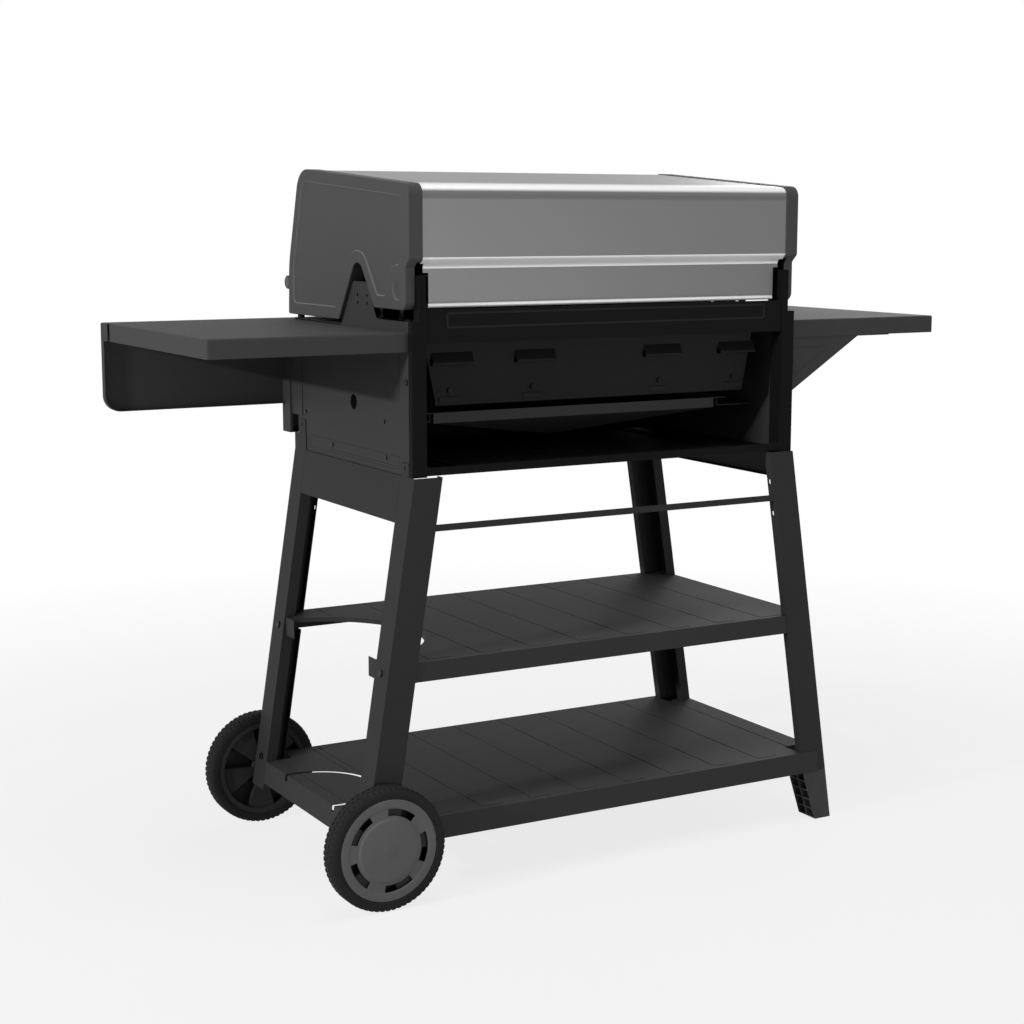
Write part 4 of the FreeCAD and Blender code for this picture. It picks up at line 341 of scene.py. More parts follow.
# Painted highlights on the bends, and one line of painted shade: from height, to height, fade, brightness
LID_PAINTED_LIGHT = [
    (1.106, 1.109, 0.004, 0.12),
    (1.1205, 1.1245, 0.006, 0.9),
    (1.0005, 1.0115, 0.002, 0.8),
    (1.0115, 1.0135, 0.0015, 0.95),
    (0.9985, 1.0005, 0.0015, 0.95),
    (0.931, 0.9425, 0.0025, 0.95),
]
PLUG_FROM, PLUG_SHADE = 0.342, 0.05
# Painted shade: the burners' pins are painted dark, and dark dots stand for the holes of the ports
PIN_FROM, PIN_SHADE = 0.17, 0.012
PORT_STEP, PORT_HEIGHT, PORT_R, PORT_SHADE = 0.009, 0.811, 0.0012, 0.01


def lid_painted_light(metal):
    """Masks of painted highlights on the lid's rear bends, and of one painted dark line, each with its brightness."""
    height = metal.along("Z")
    rear = metal.along("Y").above(LID_REAR_FROM)
    return [(metal.band(height, low, high, fade) * rear, bright) for low, high, fade, bright in LID_PAINTED_LIGHT]


def handle_ends(metal):
    """Mask of the dark plugs at both ends of the handle."""
    return [(abs(metal.along("X")).above(PLUG_FROM), PLUG_SHADE)]


def burner_ends(metal):
    """Masks of painted shade on the burners: the pins at the back, and dots for ports along both flanks."""
    depth = metal.along("Y")
    port = metal.distance(depth.wrapped(PORT_STEP), metal.along("Z") - PORT_HEIGHT).below(PORT_R)
    return [(depth.above(PIN_FROM), PIN_SHADE), (port, PORT_SHADE)]


# The lid's steel carries the painted highlights of its bends
lid_steel = brushed_steel("lid_steel", 0.15, 0.42, lid_painted_light, edge=0.95, shine=0.75)
handle_steel = brushed_steel("handle_steel", 0.42, 0.26, handle_ends)
burner_steel = brushed_steel("burner_steel", 0.33, 0.4, burner_ends, along=BRUSH_ALONG_Y, contrast=0.25, gloss=0.03)
print("brushed steels: 3, lid bends:", len(LID_PAINTED_LIGHT))

# %% [markdown]
# ## Plated metals
# Pins and wires are plated and bolts are blackened, the valves are brass, the thermometer's rim is polished, and the
# lid is smoked inside. Each could have a graph of its own, but all of them are metal with faint patches, so one
# function makes them from a colour, a roughness and the size and contrast of the patches.

# %% Plated metals
PATCH_SHEEN = 0.2
FINE_SCALE, FINE_DEPTH = 800.0, 0.02 * MM


def scaled(colour, factor):
    """A colour made brighter or darker."""
    return tuple(channel * factor for channel in colour) + (1.0,)


def plated(name, colour, roughness, mottling=60.0, contrast=0.12):
    metal = Finish(name, Metallic=1.0)
    patch = metal.noise(mottling, detail=5.0)
    metal.feed("Base Color", metal.mixed(patch, scaled(colour, 1 - contrast), scaled(colour, 1 + contrast)))
    metal.feed("Roughness", roughness + metal.swing(patch, PATCH_SHEEN))
    metal.bump(metal.noise(FINE_SCALE), FINE_DEPTH)
    return metal.material


polished = plated("polished", (0.62, 0.62, 0.63), 0.12, contrast=0.04)
zinc = plated("zinc", (0.32, 0.32, 0.33), 0.34)
black_oxide = plated("black_oxide", (0.03, 0.03, 0.032), 0.45)
wire_chrome = plated("wire_chrome", (0.5, 0.5, 0.51), 0.2)
brass = plated("brass", (0.55, 0.38, 0.14), 0.3)
smoked = plated("smoked", (0.035, 0.034, 0.033), 0.6, mottling=25.0, contrast=0.4)
print("plated metals: 6")

# %% [markdown]
# ## Plastics, rubber and iron
# Moulded plastic has a fine even grain. Tyre rubber is duller, with a slight bloom. Enamelled cast iron is the
# roughest of all, so its bump is coarser. The three differ only in scale and depth, and share one function.

# %% Plastics, rubber and iron
PLASTIC_IOR, PLASTIC_GLOSS = 1.47, 0.06
BLOOM_SCALE, BLOOM_SHEEN = 14.0, 0.14
BLOOM_FROM, BLOOM_TO = 0.3, 0.8
PLAIN = 0.92


def grained(name, colour, roughness, grain=700.0, depth=0.06 * MM, bloom=1.25):
    plastic = Finish(name, IOR=PLASTIC_IOR, Specular_IOR_Level=PLASTIC_GLOSS)
    cloud = plastic.noise(BLOOM_SCALE, detail=4.0)
    bloomed = plastic.ramp(cloud, BLOOM_FROM, BLOOM_TO)
    plastic.feed("Base Color", plastic.mixed(bloomed, scaled(colour, PLAIN), scaled(colour, bloom)))
    plastic.feed("Roughness", roughness + plastic.swing(cloud, BLOOM_SHEEN))
    plastic.bump(plastic.noise(grain, detail=2.0), depth)
    return plastic.material


black_plastic = grained("black_plastic", (0.03, 0.03, 0.031), 0.5)
foot_plastic = grained("foot_plastic", (0.06, 0.06, 0.061), 0.55)
hub_plastic = grained("hub_plastic", (0.033, 0.033, 0.034), 0.52)
cap_plastic = grained("cap_plastic", (0.12, 0.12, 0.121), 0.5, bloom=1.08)
button_red = grained("button_red", (0.3, 0.02, 0.015), 0.4, bloom=1.1)
tyre_rubber = grained("tyre_rubber", (0.021, 0.021, 0.021), 0.72, grain=420.0, depth=0.12 * MM)
bumper_rubber = grained("bumper_rubber", (0.02, 0.02, 0.02), 0.8)
grate_iron = grained("grate_iron", (0.022, 0.022, 0.023), 0.48, grain=300.0, depth=0.25 * MM)
print("other finishes made: 8")

# %% [markdown]
# ## Which node wears which finish
# Each node of the frame is one piece of the grill. A table from finish to nodes is shorter than a line for each node,
# and turning it round gives the finish of any node by name.

# %% Assign finishes
wear = {
    frame_paint: "leg_front_right leg_front_left leg_rear_right leg_rear_left end_plate_right end_plate_left "
                 "rear_brace",
    shelf_paint: "lower_shelf upper_shelf",
    panel_paint: "side_panel_right side_panel_left table_fascia_right table_fascia_left control_panel "
                 "control_box_end_right control_box_end_left",
    table_paint: "side_table_right side_table_left table_bracket",
    post_paint: "rear_post_right rear_post_left base_frame base_plate",
    shield_paint: "back_panel",
    enamel: "firebox heat_tents",
    tray_coat_and_light: "grease_tray",
    end_paint: "lid_cap_right lid_cap_left",
    lid_steel: "lid_skin",
    handle_steel: "lid_handle",
    burner_steel: "burners",
    polished: "thermometer knob_bezels",
    zinc: "axle hinge_pins manifold",
    black_oxide: "frame_bolts panel_screws",
    wire_chrome: "warming_rack",
    brass: "gas_valves gas_inlet",
    black_plastic: "handle_posts burner_knob_1 burner_knob_2 burner_knob_3 burner_knob_4 igniter_body",
    foot_plastic: "foot_rear_left foot_front_left",
    hub_plastic: "wheel_hub_rear wheel_hub_front",
    cap_plastic: "hub_cap_rear hub_cap_front",
    button_red: "igniter_button",
    tyre_rubber: "tyre_rear tyre_front",
    bumper_rubber: "lid_bumpers",
    grate_iron: "cooking_grates",
}
finish_of = {node: finish for finish, nodes in wear.items() for node in nodes.split()}
for node, piece in frame["nodes"].items():
    piece.data.materials.clear()
    piece.data.materials.append(finish_of[node])
print("nodes dressed:", len(finish_of))

# %% [markdown]
# ## Copies of nodes
# A node's mesh is loose triangles. Operators such as bevel need a closed surface, so a copy has its triangles joined
# and its flat faces made whole. A fold is then an edge whose two faces meet at a clear angle.

# %% Copies of nodes
JOINED = 0.002 * MM
FLAT = math.radians(0.6)
FOLD = math.radians(28.0)


def merged_copy(node):
    """A node's mesh with its loose triangles joined and its flat faces made whole."""
    shape = bmesh.new()
    shape.from_mesh(frame["nodes"][node].data)
    bmesh.ops.remove_doubles(shape, verts=shape.verts, dist=JOINED)
    bmesh.ops.dissolve_limit(shape, angle_limit=FLAT, verts=shape.verts, edges=shape.edges)
    return shape


def folds(shape):
    return [edge for edge in shape.edges if edge.is_manifold and edge.calc_face_angle() > FOLD]


def rounded(shape, edges, width, segments=2):
    """Bevels edges and gives the new faces."""
    made = bmesh.ops.bevel(shape, geom=edges, offset=width, offset_type="OFFSET", affect="EDGES", segments=segments,
                           profile=0.5, material=-1, clamp_overlap=False)
    return made["faces"]


print("edges count as folds above degrees:", round(math.degrees(FOLD)))

# %% [markdown]
# ## From shape to piece
# A finished shape becomes an object that moves with one body of the grill. Weighted normals keep large faces flat
# beside their narrow rounds, which plain smooth shading would not.

# %% Pieces that ride
body_of = {node: body for body, nodes in frame["record"]["behaviour"]["bodies"].items() for node in nodes}
SMOOTH = math.radians(40.0)


def finished(shape, name, finishes, body, stands_for=()):
    """Turns a bmesh into a piece that rides on a body."""
    data = bpy.data.meshes.new(name)
    shape.to_mesh(data)
    shape.free()
    for finish in finishes:
        data.materials.append(finish)
    data.shade_smooth()
    data.set_sharp_from_angle(angle=SMOOTH)
    piece = bpy.data.objects.new(name, data)
    bpy.context.scene.collection.objects.link(piece)
    piece.modifiers.new("flat_faces", "WEIGHTED_NORMAL").keep_sharp = True
    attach(piece, body)
    if stands_for:
        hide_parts(*stands_for)
    return piece


def stand_in(shape, node, finishes=()):
    """The piece that stands for one node."""
    return finished(shape, node + "_finished", finishes or [finish_of[node]], body_of[node], [node])


print("bodies:", sorted(set(body_of.values())))

# %% [markdown]
# ## Softened folds
# Real sheet is never folded or cut to a knife edge, and a coat of paint rounds it further. The thin light along an
# edge is what shows the thickness of the sheet. A Bevel modifier on the node itself would meet its loose triangles,
# so each visible node gets a merged copy; the bevel then runs along the real edges only.

# %% Softened folds
# Width of the round in millimetres, and the nodes that have it
EDGE_WIDTHS = {
    0.6: "leg_front_right leg_front_left leg_rear_right leg_rear_left foot_rear_left foot_front_left handle_posts "
         "cooking_grates",
    0.4: "end_plate_right end_plate_left rear_brace table_bracket base_frame wheel_hub_rear wheel_hub_front "
         "frame_bolts panel_screws igniter_button gas_inlet thermometer knob_bezels",
    0.3: "side_table_right side_table_left table_fascia_right table_fascia_left control_panel rear_post_right "
         "rear_post_left control_box_end_right control_box_end_left side_panel_right side_panel_left base_plate "
         "grease_tray lid_handle",
    0.22: "lower_shelf upper_shelf",
}
softened = 0
for width, nodes in EDGE_WIDTHS.items():
    for node in nodes.split():
        copy = merged_copy(node)
        rounded(copy, folds(copy), width * MM)
        stand_in(copy, node)
        softened += 1
print("softened nodes:", softened)

# %% [markdown]
# ## Heat shield
# The panel between the posts is stiffened by a pressed line. The floor of the line is painted paler than the panel: a
# painted highlight, where light catches the line. It could be a stripe in the paint, but the line is already in the
# shape, so its faces are found by their depth behind the rear face.

# %% Heat shield
SHEET_EDGE = 0.3 * MM
PRESSED_DEPTH = 0.1 * MM
PRESSED_FACING = 0.3
shield_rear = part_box("back_panel")[1].y


def painted(faces, chosen):
    """Gives the faces that a test chooses the second material, and counts them."""
    for face in faces:
        face.material_index = 1 if chosen(face) else 0
    return sum(face.material_index for face in faces)


def in_pressed_line(face):
    return face.normal.y > PRESSED_FACING and shield_rear - face.calc_center_median().y > PRESSED_DEPTH


shield = merged_copy("back_panel")
rounded(shield, folds(shield), SHEET_EDGE)
shield.normal_update()
print("faces of the pressed line:", painted(shield.faces, in_pressed_line))
stand_in(shield, "back_panel", [shield_paint, pressed_line_highlight])

# %% [markdown]
# ## Firebox
# The firebox is enamelled sheet. Four hoods are pressed out of its rear wall to let hot air out, and their faces are
# painted darker: painted shade, as they look up into the dark under the lid. The faces could be picked one by one, but
# their normals are enough. The rear wall leans in towards its foot and looks a little down, so on the outside only a
# hood looks both back and up. Inside, the front wall does so too, and takes the same painted shade.

# %% Firebox
SHADE_BACK, SHADE_UP = 0.5, 0.1


# Faces that take the painted shade: they look both back and up
def shade_painted(face):
    return face.normal.y > SHADE_BACK and face.normal.z > SHADE_UP


firebox = merged_copy("firebox")
rounded(firebox, folds(firebox), SHEET_EDGE)
firebox.normal_update()
print("burnt faces:", painted(firebox.faces, shade_painted))
stand_in(firebox, "firebox", [enamel, hood_shade_enamel])

# %% [markdown]
# ## Lid skin
# The lid is a bent steel sheet held between two cast end caps. The sheet needs no bevel, only normals that run
# smoothly round its bends. Smoke soon darkens its inner side, so the faces that look at the middle of the lid take a
# second material.

# %% Lid skin
LID_MIDDLE = Vector((0.0, 0.0, 1.0))
END_FACING = 0.5


def inside_lid(face):
    inward = LID_MIDDLE - face.calc_center_median()
    inward.x = 0.0
    return face.normal.dot(inward) > 0 and abs(face.normal.x) < END_FACING


skin = merged_copy("lid_skin")
print("faces inside the lid:", painted(skin.faces, inside_lid))
stand_in(skin, "lid_skin", [lid_steel, smoked])

# %% [markdown]
# ## Lid caps
# The cast caps have a wider round along their rim than on their other edges. One bevel for all would be simpler, but
# would lose that, so the rim is found first: its edges lie on the outer face, and the wall beside them goes right
# through the cap. The edges of the sunk field are painted paler: a painted highlight, where light catches their
# rounds.

# %% Lid caps
RIM_ROUND, RIM_SEGMENTS = 1.6 * MM, 4
RIM_WALL = 10.0 * MM
ON_FACE = 0.05 * MM
CAP_EDGE = 0.8 * MM
FIELD_REACH = 3.0 * MM


def spans(face):
    """How far a face reaches through the cap."""
    reach = [abs(vert.co.x) for vert in face.verts]
    return max(reach) - min(reach)


def rim_of(shape, outer_x):
    """Edges between the cap's outer face and the walls that go through it."""
    rim = []
    for edge in folds(shape):
        on_face = all(abs(abs(vert.co.x) - outer_x) < ON_FACE for vert in edge.verts)
        if on_face and max(spans(face) for face in edge.link_faces) > RIM_WALL:
            rim.append(edge)
    return rim


for node in ("lid_cap_right", "lid_cap_left"):
    outer_x = max(abs(corner.x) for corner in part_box(node))
    cap = merged_copy(node)
    rim = rim_of(cap, outer_x)
    rounded(cap, rim, RIM_ROUND, RIM_SEGMENTS)
    edge_faces = rounded(cap, folds(cap), CAP_EDGE)
    # The field's edges near the outer face take the painted highlight
    highlighted = painted(edge_faces, lambda face: abs(face.calc_center_median().x) > outer_x - FIELD_REACH)
    stand_in(cap, node, [end_paint, cap_edge_highlight])
    print(node, "rim edges:", len(rim), "worn faces:", highlighted)

# %% [markdown]
# ## Spun shapes
# A tyre and a hub cap are the same all round the axle. Either could start from a cylinder, but a section drawn once
# and spun about the axle gives each ring its exact radius.

# %% Spun shapes
AXLE_LINE = (0.0, 1.0, 0.0)
FULL_TURN = 2 * math.pi


def middle_of(node):
    low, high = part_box(node)
    return (low + high) / 2


def spun(section, centre, steps, closed, outward=1.0):
    """A shape spun from a section of radius and distance along the axle, both in millimetres."""
    shape = bmesh.new()
    points = [shape.verts.new(centre + Vector((r * MM, outward * d * MM, 0.0))) for r, d in section]
    ends = points[1:] + points[:1] if closed else points[1:]
    chain = [shape.edges.new(pair) for pair in zip(points, ends)]
    bmesh.ops.spin(shape, geom=points + chain, cent=centre, axis=AXLE_LINE, angle=FULL_TURN, steps=steps,
                   use_merge=True)
    bmesh.ops.remove_doubles(shape, verts=shape.verts, dist=JOINED)
    return shape


print("spin axis:", AXLE_LINE)

# %% [markdown]
# ## Tyres
# The tyres are moulded rubber with a smooth sidewall, a ring near the bead, a row of scalloped lugs on each shoulder
# and short grooves round the crown. Half of the section is enough, as the tyre is the same on both sides: mirrored and
# spun about the axle it gives a smooth tyre. Single lugs could be modelled and copied round it, but pressing in the
# rows between them keeps the tyre one closed skin.

# %% Tyres
LUGS = 64
LUG_STEPS = 6
GAP_STEPS, GROOVE_STEPS = (0, 1), (2, 3, 4)
# Radius, distance from the middle plane
WALL_SECTION = [
    (83.0, 15.0), (83.4, 16.2), (84.4, 16.9), (85.6, 17.0), (86.2, 16.4), (87.2, 16.4), (87.8, 17.0), (91.5, 17.0),
    (94.0, 16.7), (96.4, 15.7), (98.4, 14.0), (99.6, 12.0), (100.0, 10.0), (100.0, 6.6), (100.0, 6.2), (100.0, 3.6),
    (100.0, 3.2), (100.0, 0.0),
]
SHOULDER_FROM, SHOULDER_TO = 8.0 * MM, 15.0 * MM
CROWN_FROM, CROWN_TO = 3.4 * MM, 6.4 * MM
LUG_DEPTH = 2.4 * MM
GROOVE_DEPTH = 1.8 * MM


def pressed(offset):
    """How far the mould presses in a point of the smooth tyre, measured from the tyre's middle."""
    step = round(math.atan2(offset.z, offset.x) / FULL_TURN * LUGS * LUG_STEPS)
    if offset.y > 0:
        step += LUG_STEPS // 2
    if SHOULDER_FROM < abs(offset.y) < SHOULDER_TO and step % LUG_STEPS in GAP_STEPS:
        return LUG_DEPTH
    if CROWN_FROM < abs(offset.y) < CROWN_TO and step % LUG_STEPS in GROOVE_STEPS:
        return GROOVE_DEPTH
    return 0.0


def tyre(node):
    middle = middle_of(node)
    section = WALL_SECTION + [(r, -d) for r, d in reversed(WALL_SECTION[:-1])]
    shape = spun(section, middle, LUGS * LUG_STEPS, closed=True)
    bmesh.ops.recalc_face_normals(shape, faces=shape.faces)
    for vert in shape.verts:
        out = vert.co - middle
        vert.co -= Vector((out.x, 0.0, out.z)).normalized() * pressed(out)
    return stand_in(shape, node)


for node in ("tyre_rear", "tyre_front"):
    print(node, "faces:", len(tyre(node).data.polygons))

# %% [markdown]
# ## Hub caps
# Each wheel is closed by a grey moulded cap: a domed middle with a small disc, a sunk channel with five arched
# windows, and a flat rim. The windows could be cut with a Boolean. The section is spun in one-degree steps instead, so
# a window is simply the cells that are deleted, and an extrusion along the axle gives the thickness. The rims of the
# windows are bevelled last.

# %% Hub caps
# Radius, distance in front of the flat rim
CAP_SECTION = [
    (0.0, 3.0), (5.0, 3.0), (10.2, 2.98), (10.8, 2.7), (11.6, 2.62), (20.0, 2.6), (30.0, 2.5), (40.0, 2.2),
    (46.0, 1.9), (49.0, 1.6), (50.2, 1.25), (51.0, 0.7), (51.7, 0.0), (52.4, -0.55), (53.3, -0.8), (56.0, -0.8),
    (61.5, -0.8), (67.5, -0.8), (68.4, -0.65), (69.4, -0.2), (70.4, 0.0), (74.0, 0.0), (79.8, 0.0), (81.2, -0.15),
    (82.1, -0.7), (82.6, -1.5), (82.7, -2.5),
]
CAP_STEPS = 360
CAP_THICK = 2.5 * MM
CAP_RAISED = 3.0 * MM
WINDOW_FROM, WINDOW_TO = 56.0 * MM, 67.5 * MM
WINDOW_COUNT, WINDOW_TURN, WINDOW_HALF = 5, -39.0, 22.0
WINDOW_EDGE, WINDOW_SEGMENTS = 0.6 * MM, 3


def in_window(offset):
    """True for a point of the cap, measured from the axle, that lies in one of the windows."""
    reach = math.hypot(offset.x, offset.z)
    turn = math.degrees(math.atan2(-offset.z, offset.x)) - WINDOW_TURN
    pitch = 360.0 / WINDOW_COUNT
    return WINDOW_FROM < reach < WINDOW_TO and abs((turn + pitch / 2) % pitch - pitch / 2) < WINDOW_HALF


def hub_cap(node, outward):
    low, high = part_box(node)
    centre = middle_of(node)
    centre.y = (high.y if outward > 0 else low.y) - outward * CAP_RAISED
    shape = spun(CAP_SECTION, centre, CAP_STEPS, closed=False, outward=outward)
    gone = [face for face in shape.faces if in_window(face.calc_center_median() - centre)]
    bmesh.ops.delete(shape, geom=gone, context="FACES")
    backs = bmesh.ops.extrude_face_region(shape, geom=shape.faces[:])["geom"]
    moved = [part for part in backs if isinstance(part, bmesh.types.BMVert)]
    bmesh.ops.translate(shape, verts=moved, vec=(0.0, -outward * CAP_THICK, 0.0))
    bmesh.ops.recalc_face_normals(shape, faces=shape.faces)
    rounded(shape, folds(shape), WINDOW_EDGE, WINDOW_SEGMENTS)
    return stand_in(shape, node)


for node, outward in (("hub_cap_rear", 1.0), ("hub_cap_front", -1.0)):
    print(node, "faces:", len(hub_cap(node, outward).data.polygons))

# %% [markdown]
# ## Knobs
# A burner knob has a skirt, a grip across it and a white line that shows where it stands. A painted stripe would do
# from afar, but on the real knob the line is a shallow groove filled with paint. Four cuts across the grip's front
# face leave a narrow rectangle, which is inset and sunk, and takes a second material.

# %% Knobs
white_paint = powder_coat("white_paint", 0.75, grain=0.5, dust=0.1)
KNOBS = ["burner_knob_%d" % number for number in range(1, 5)]
LINE_HALF = 1.1 * MM
LINE_FROM, LINE_TO = 3.0 * MM, 18.0 * MM
LINE_INSET, LINE_SUNK = 0.15 * MM, 0.4 * MM
KNOB_EDGE = 0.5 * MM
FRONT_REACH = 0.01 * MM


def front_faces(shape, front_y):
    return [face for face in shape.faces if face.calc_center_median().y < front_y + FRONT_REACH]


def knob(node):
    front_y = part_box(node)[0].y
    middle = middle_of(node)
    shape = merged_copy(node)
    behind_front = [edge for edge in folds(shape) if max(vert.co.y for vert in edge.verts) > front_y + MM]
    rounded(shape, behind_front, KNOB_EDGE)
    cuts = [((middle.x - LINE_HALF, 0, 0), (1, 0, 0)), ((middle.x + LINE_HALF, 0, 0), (1, 0, 0)),
            ((0, 0, middle.z + LINE_FROM), (0, 0, 1)), ((0, 0, middle.z + LINE_TO), (0, 0, 1))]
    for place, across in cuts:
        front = front_faces(shape, front_y)
        edges = dict.fromkeys(edge for face in front for edge in face.edges)
        verts = dict.fromkeys(vert for face in front for vert in face.verts)
        bmesh.ops.bisect_plane(shape, geom=[*front, *edges, *verts], plane_co=place, plane_no=across, dist=JOINED)
    for face in front_faces(shape, front_y):
        offset = face.calc_center_median() - middle
        if abs(offset.x) < LINE_HALF and LINE_FROM < offset.z < LINE_TO:
            bmesh.ops.inset_individual(shape, faces=[face], thickness=LINE_INSET, depth=-LINE_SUNK)
            face.material_index = 1
    return stand_in(shape, node, [finish_of[node], white_paint])


for node in KNOBS:
    print(node, "faces:", len(knob(node).data.polygons))

# %% [markdown]
# ## Marks round the knobs
# The control panel shows how far each knob is turned: enamel marks round the bezel grow from off to full. They could
# be drawn in the panel's material, but real enamel has a thickness. A mark is a thin bar with bevelled edges, turned
# about the knob's middle.

# %% Marks round the knobs
MARKS = 8
MARK_SWEEP = math.radians(225.0)
MARK_FROM = 36.0 * MM
MARK_SHORT, MARK_LONG = 2.0 * MM, 5.5 * MM
MARK_WIDE, MARK_THICK = 1.3 * MM, 0.3 * MM
BAR_EDGE = 0.25


def bar(shape, size, place):
    """A small bar with bevelled edges added to a shape; place is a matrix."""
    made = bmesh.ops.create_cube(shape, size=1.0, matrix=place @ Matrix.Diagonal((*size, 1.0)))
    edges = dict.fromkeys(edge for vert in made["verts"] for edge in vert.link_edges)
    rounded(shape, list(edges), min(size) * BAR_EDGE, segments=1)


marks = bmesh.new()
panel_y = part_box("knob_bezels")[1].y
for node in KNOBS:
    middle = middle_of(node)
    seat = Matrix.Translation((middle.x, panel_y - MARK_THICK / 2, middle.z))
    for mark in range(MARKS):
        share = mark / (MARKS - 1)
        long = MARK_SHORT + (MARK_LONG - MARK_SHORT) * share
        turn = Matrix.Rotation(-MARK_SWEEP * share, 4, "Y")
        out = Matrix.Translation((0.0, 0.0, MARK_FROM + long / 2))
        bar(marks, (MARK_WIDE, MARK_THICK, long), seat @ turn @ out)
finished(marks, "knob_marks", [white_paint], "cart")
print("marks:", len(KNOBS) * MARKS)

# %% [markdown]
# ## Seam strips
# The side panels stand on the upper edges of the end plates. A black strip in each seam keeps light from showing
# through it; its black is painted shade, the dark of a closed seam. A seam could be closed by moving the sheets, but
# their places belong to the frame.

# %% Seam strips
STRIP_HIGH, STRIP_WIDE = 1.3 * MM, 3.9 * MM
STRIP_OVER = 1.4 * MM
STRIP_SHORTER = 1.0 * MM
# Black for the seam strips and the gasket: painted shade in the gaps they close
gap_shade = grained("gap_shade", (0.012, 0.012, 0.012), 0.85)
for side, hand in ((1, "right"), (-1, "left")):
    low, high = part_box("end_plate_" + hand)
    panel_x = max(abs(corner.x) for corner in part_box("side_panel_" + hand))
    seat = Vector((side * (panel_x + STRIP_OVER - STRIP_WIDE / 2), (low.y + high.y) / 2, high.z - STRIP_HIGH / 2))
    strip = bmesh.new()
    bar(strip, (STRIP_WIDE, high.y - low.y - STRIP_SHORTER, STRIP_HIGH), Matrix.Translation(seat))
    finished(strip, "seam_strip_" + hand, [gap_shade], "cart")
    print("strip length mm:", round((high.y - low.y - STRIP_SHORTER) / MM, 1))

# %% [markdown]
# ## Gasket
# A black gasket lies on the front rim of the firebox and closes the gap under the lid, so that no light shows through
# it; its black is painted shade. It is the same kind of bar as the strips, sunk a little over the rim.

# %% Gasket
GASKET_LONG, GASKET_WIDE, GASKET_HIGH = 0.64, 3.9 * MM, 2.6 * MM
GASKET_SUNK = 0.4 * MM
FRONT_RIM_Y = -170.65 * MM
rim_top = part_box("firebox")[1].z
seat = Vector((0.0, FRONT_RIM_Y, rim_top - GASKET_SUNK + GASKET_HIGH / 2))
gasket = bmesh.new()
bar(gasket, (GASKET_LONG, GASKET_WIDE, GASKET_HIGH), Matrix.Translation(seat))
finished(gasket, "front_gasket", [gap_shade], "cart")
print("gasket length:", GASKET_LONG)

# %% [markdown]
# ## Dial card
# The lid carries a dial thermometer in a steel rim. Behind its rim lies a pale card. The card is a thin disc with a
# softened edge, and everything on it is placed by a turn about the dial's axis and a step forward.

# %% Dial card
DIAL_SUNK = 3.0 * MM
CARD_R, CARD_THICK, CARD_EDGE = 30.6 * MM, 0.4 * MM, 0.1 * MM
CARD_SIDES = 96
FACING = Matrix.Rotation(math.radians(90.0), 4, "X")
DIAL_SWEEP = math.radians(270.0)
card_white = powder_coat("card_white", 0.72, roughness=0.5, grain=0.3, dust=0.05)
dial = middle_of("thermometer")
dial.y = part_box("thermometer")[0].y + DIAL_SUNK


def turned(share):
    """Turn about the dial's axis: share 0 is the cold end and 1 the hot end."""
    return Matrix.Rotation(DIAL_SWEEP * (share - 0.5), 4, "Y")


def in_front(depth):
    return Matrix.Translation(dial - Vector((0.0, depth, 0.0)))


card = bmesh.new()
bmesh.ops.create_cone(card, cap_ends=True, segments=CARD_SIDES, radius1=CARD_R, radius2=CARD_R, depth=CARD_THICK,
                      matrix=in_front(CARD_THICK / 2) @ FACING)
rounded(card, folds(card), CARD_EDGE, segments=1)
finished(card, "dial_card", [card_white], "lid")
print("card radius mm:", CARD_R / MM)

# %% [markdown]
# ## Dial ticks and numbers
# The card is printed with ticks and plain numbers. A tick is a thin bar, longer and wider at each fifth. A number is
# text, turned into a mesh before it is placed, because a finished piece keeps its place in its mesh.

# %% Dial ticks and numbers
DIAL_TICKS, LONG_EVERY = 31, 5
TICK_OUTER = 28.5 * MM
LONG_TICK, SHORT_TICK = (0.9 * MM, 5.0 * MM), (0.5 * MM, 3.0 * MM)
TICK_THICK, TICK_AHEAD = 0.2 * MM, 0.05 * MM
NUMBERS, NUMBER_STEP = 7, 50
NUMBER_R, NUMBER_HEIGHT, NUMBER_THICK = 18.5 * MM, 5.4 * MM, 0.08 * MM
CURVE_STEPS = 3
ink = powder_coat("ink", 0.02, roughness=0.6, grain=0.3)


def figure(words):
    """Flat text as a mesh with a little thickness."""
    curve = bpy.data.curves.new("figure", "FONT")
    curve.body = words
    curve.size = NUMBER_HEIGHT
    curve.extrude = NUMBER_THICK
    curve.resolution_u = CURVE_STEPS
    curve.align_x, curve.align_y = "CENTER", "CENTER"
    holder = bpy.data.objects.new("figure", curve)
    data = bpy.data.meshes.new_from_object(holder)
    bpy.data.objects.remove(holder)
    bpy.data.curves.remove(curve)
    return data


print_shape = bmesh.new()
for tick in range(DIAL_TICKS):
    wide, long = LONG_TICK if tick % LONG_EVERY == 0 else SHORT_TICK
    out = Matrix.Translation((0.0, 0.0, TICK_OUTER - long / 2))
    place = in_front(CARD_THICK + TICK_AHEAD) @ turned(tick / (DIAL_TICKS - 1)) @ out
    bar(print_shape, (wide, TICK_THICK, long), place)
for number in range(NUMBERS):
    data = figure(str(NUMBER_STEP * (number + 1)))
    seat = turned(number / (NUMBERS - 1)) @ Vector((0.0, 0.0, NUMBER_R))
    data.transform(in_front(CARD_THICK + NUMBER_THICK) @ Matrix.Translation(seat) @ FACING)
    print_shape.from_mesh(data)
    bpy.data.meshes.remove(data)
bmesh.ops.remove_doubles(print_shape, verts=print_shape.verts, dist=JOINED)
finished(print_shape, "dial_print", [ink], "lid")
print("ticks:", DIAL_TICKS, "numbers:", NUMBERS)

# %% [markdown]
# ## Dial pointer
# The pointer is a red needle on a small boss, and rests at the cold end. It stands clear of the card, so that it
# throws a fine shadow on it.

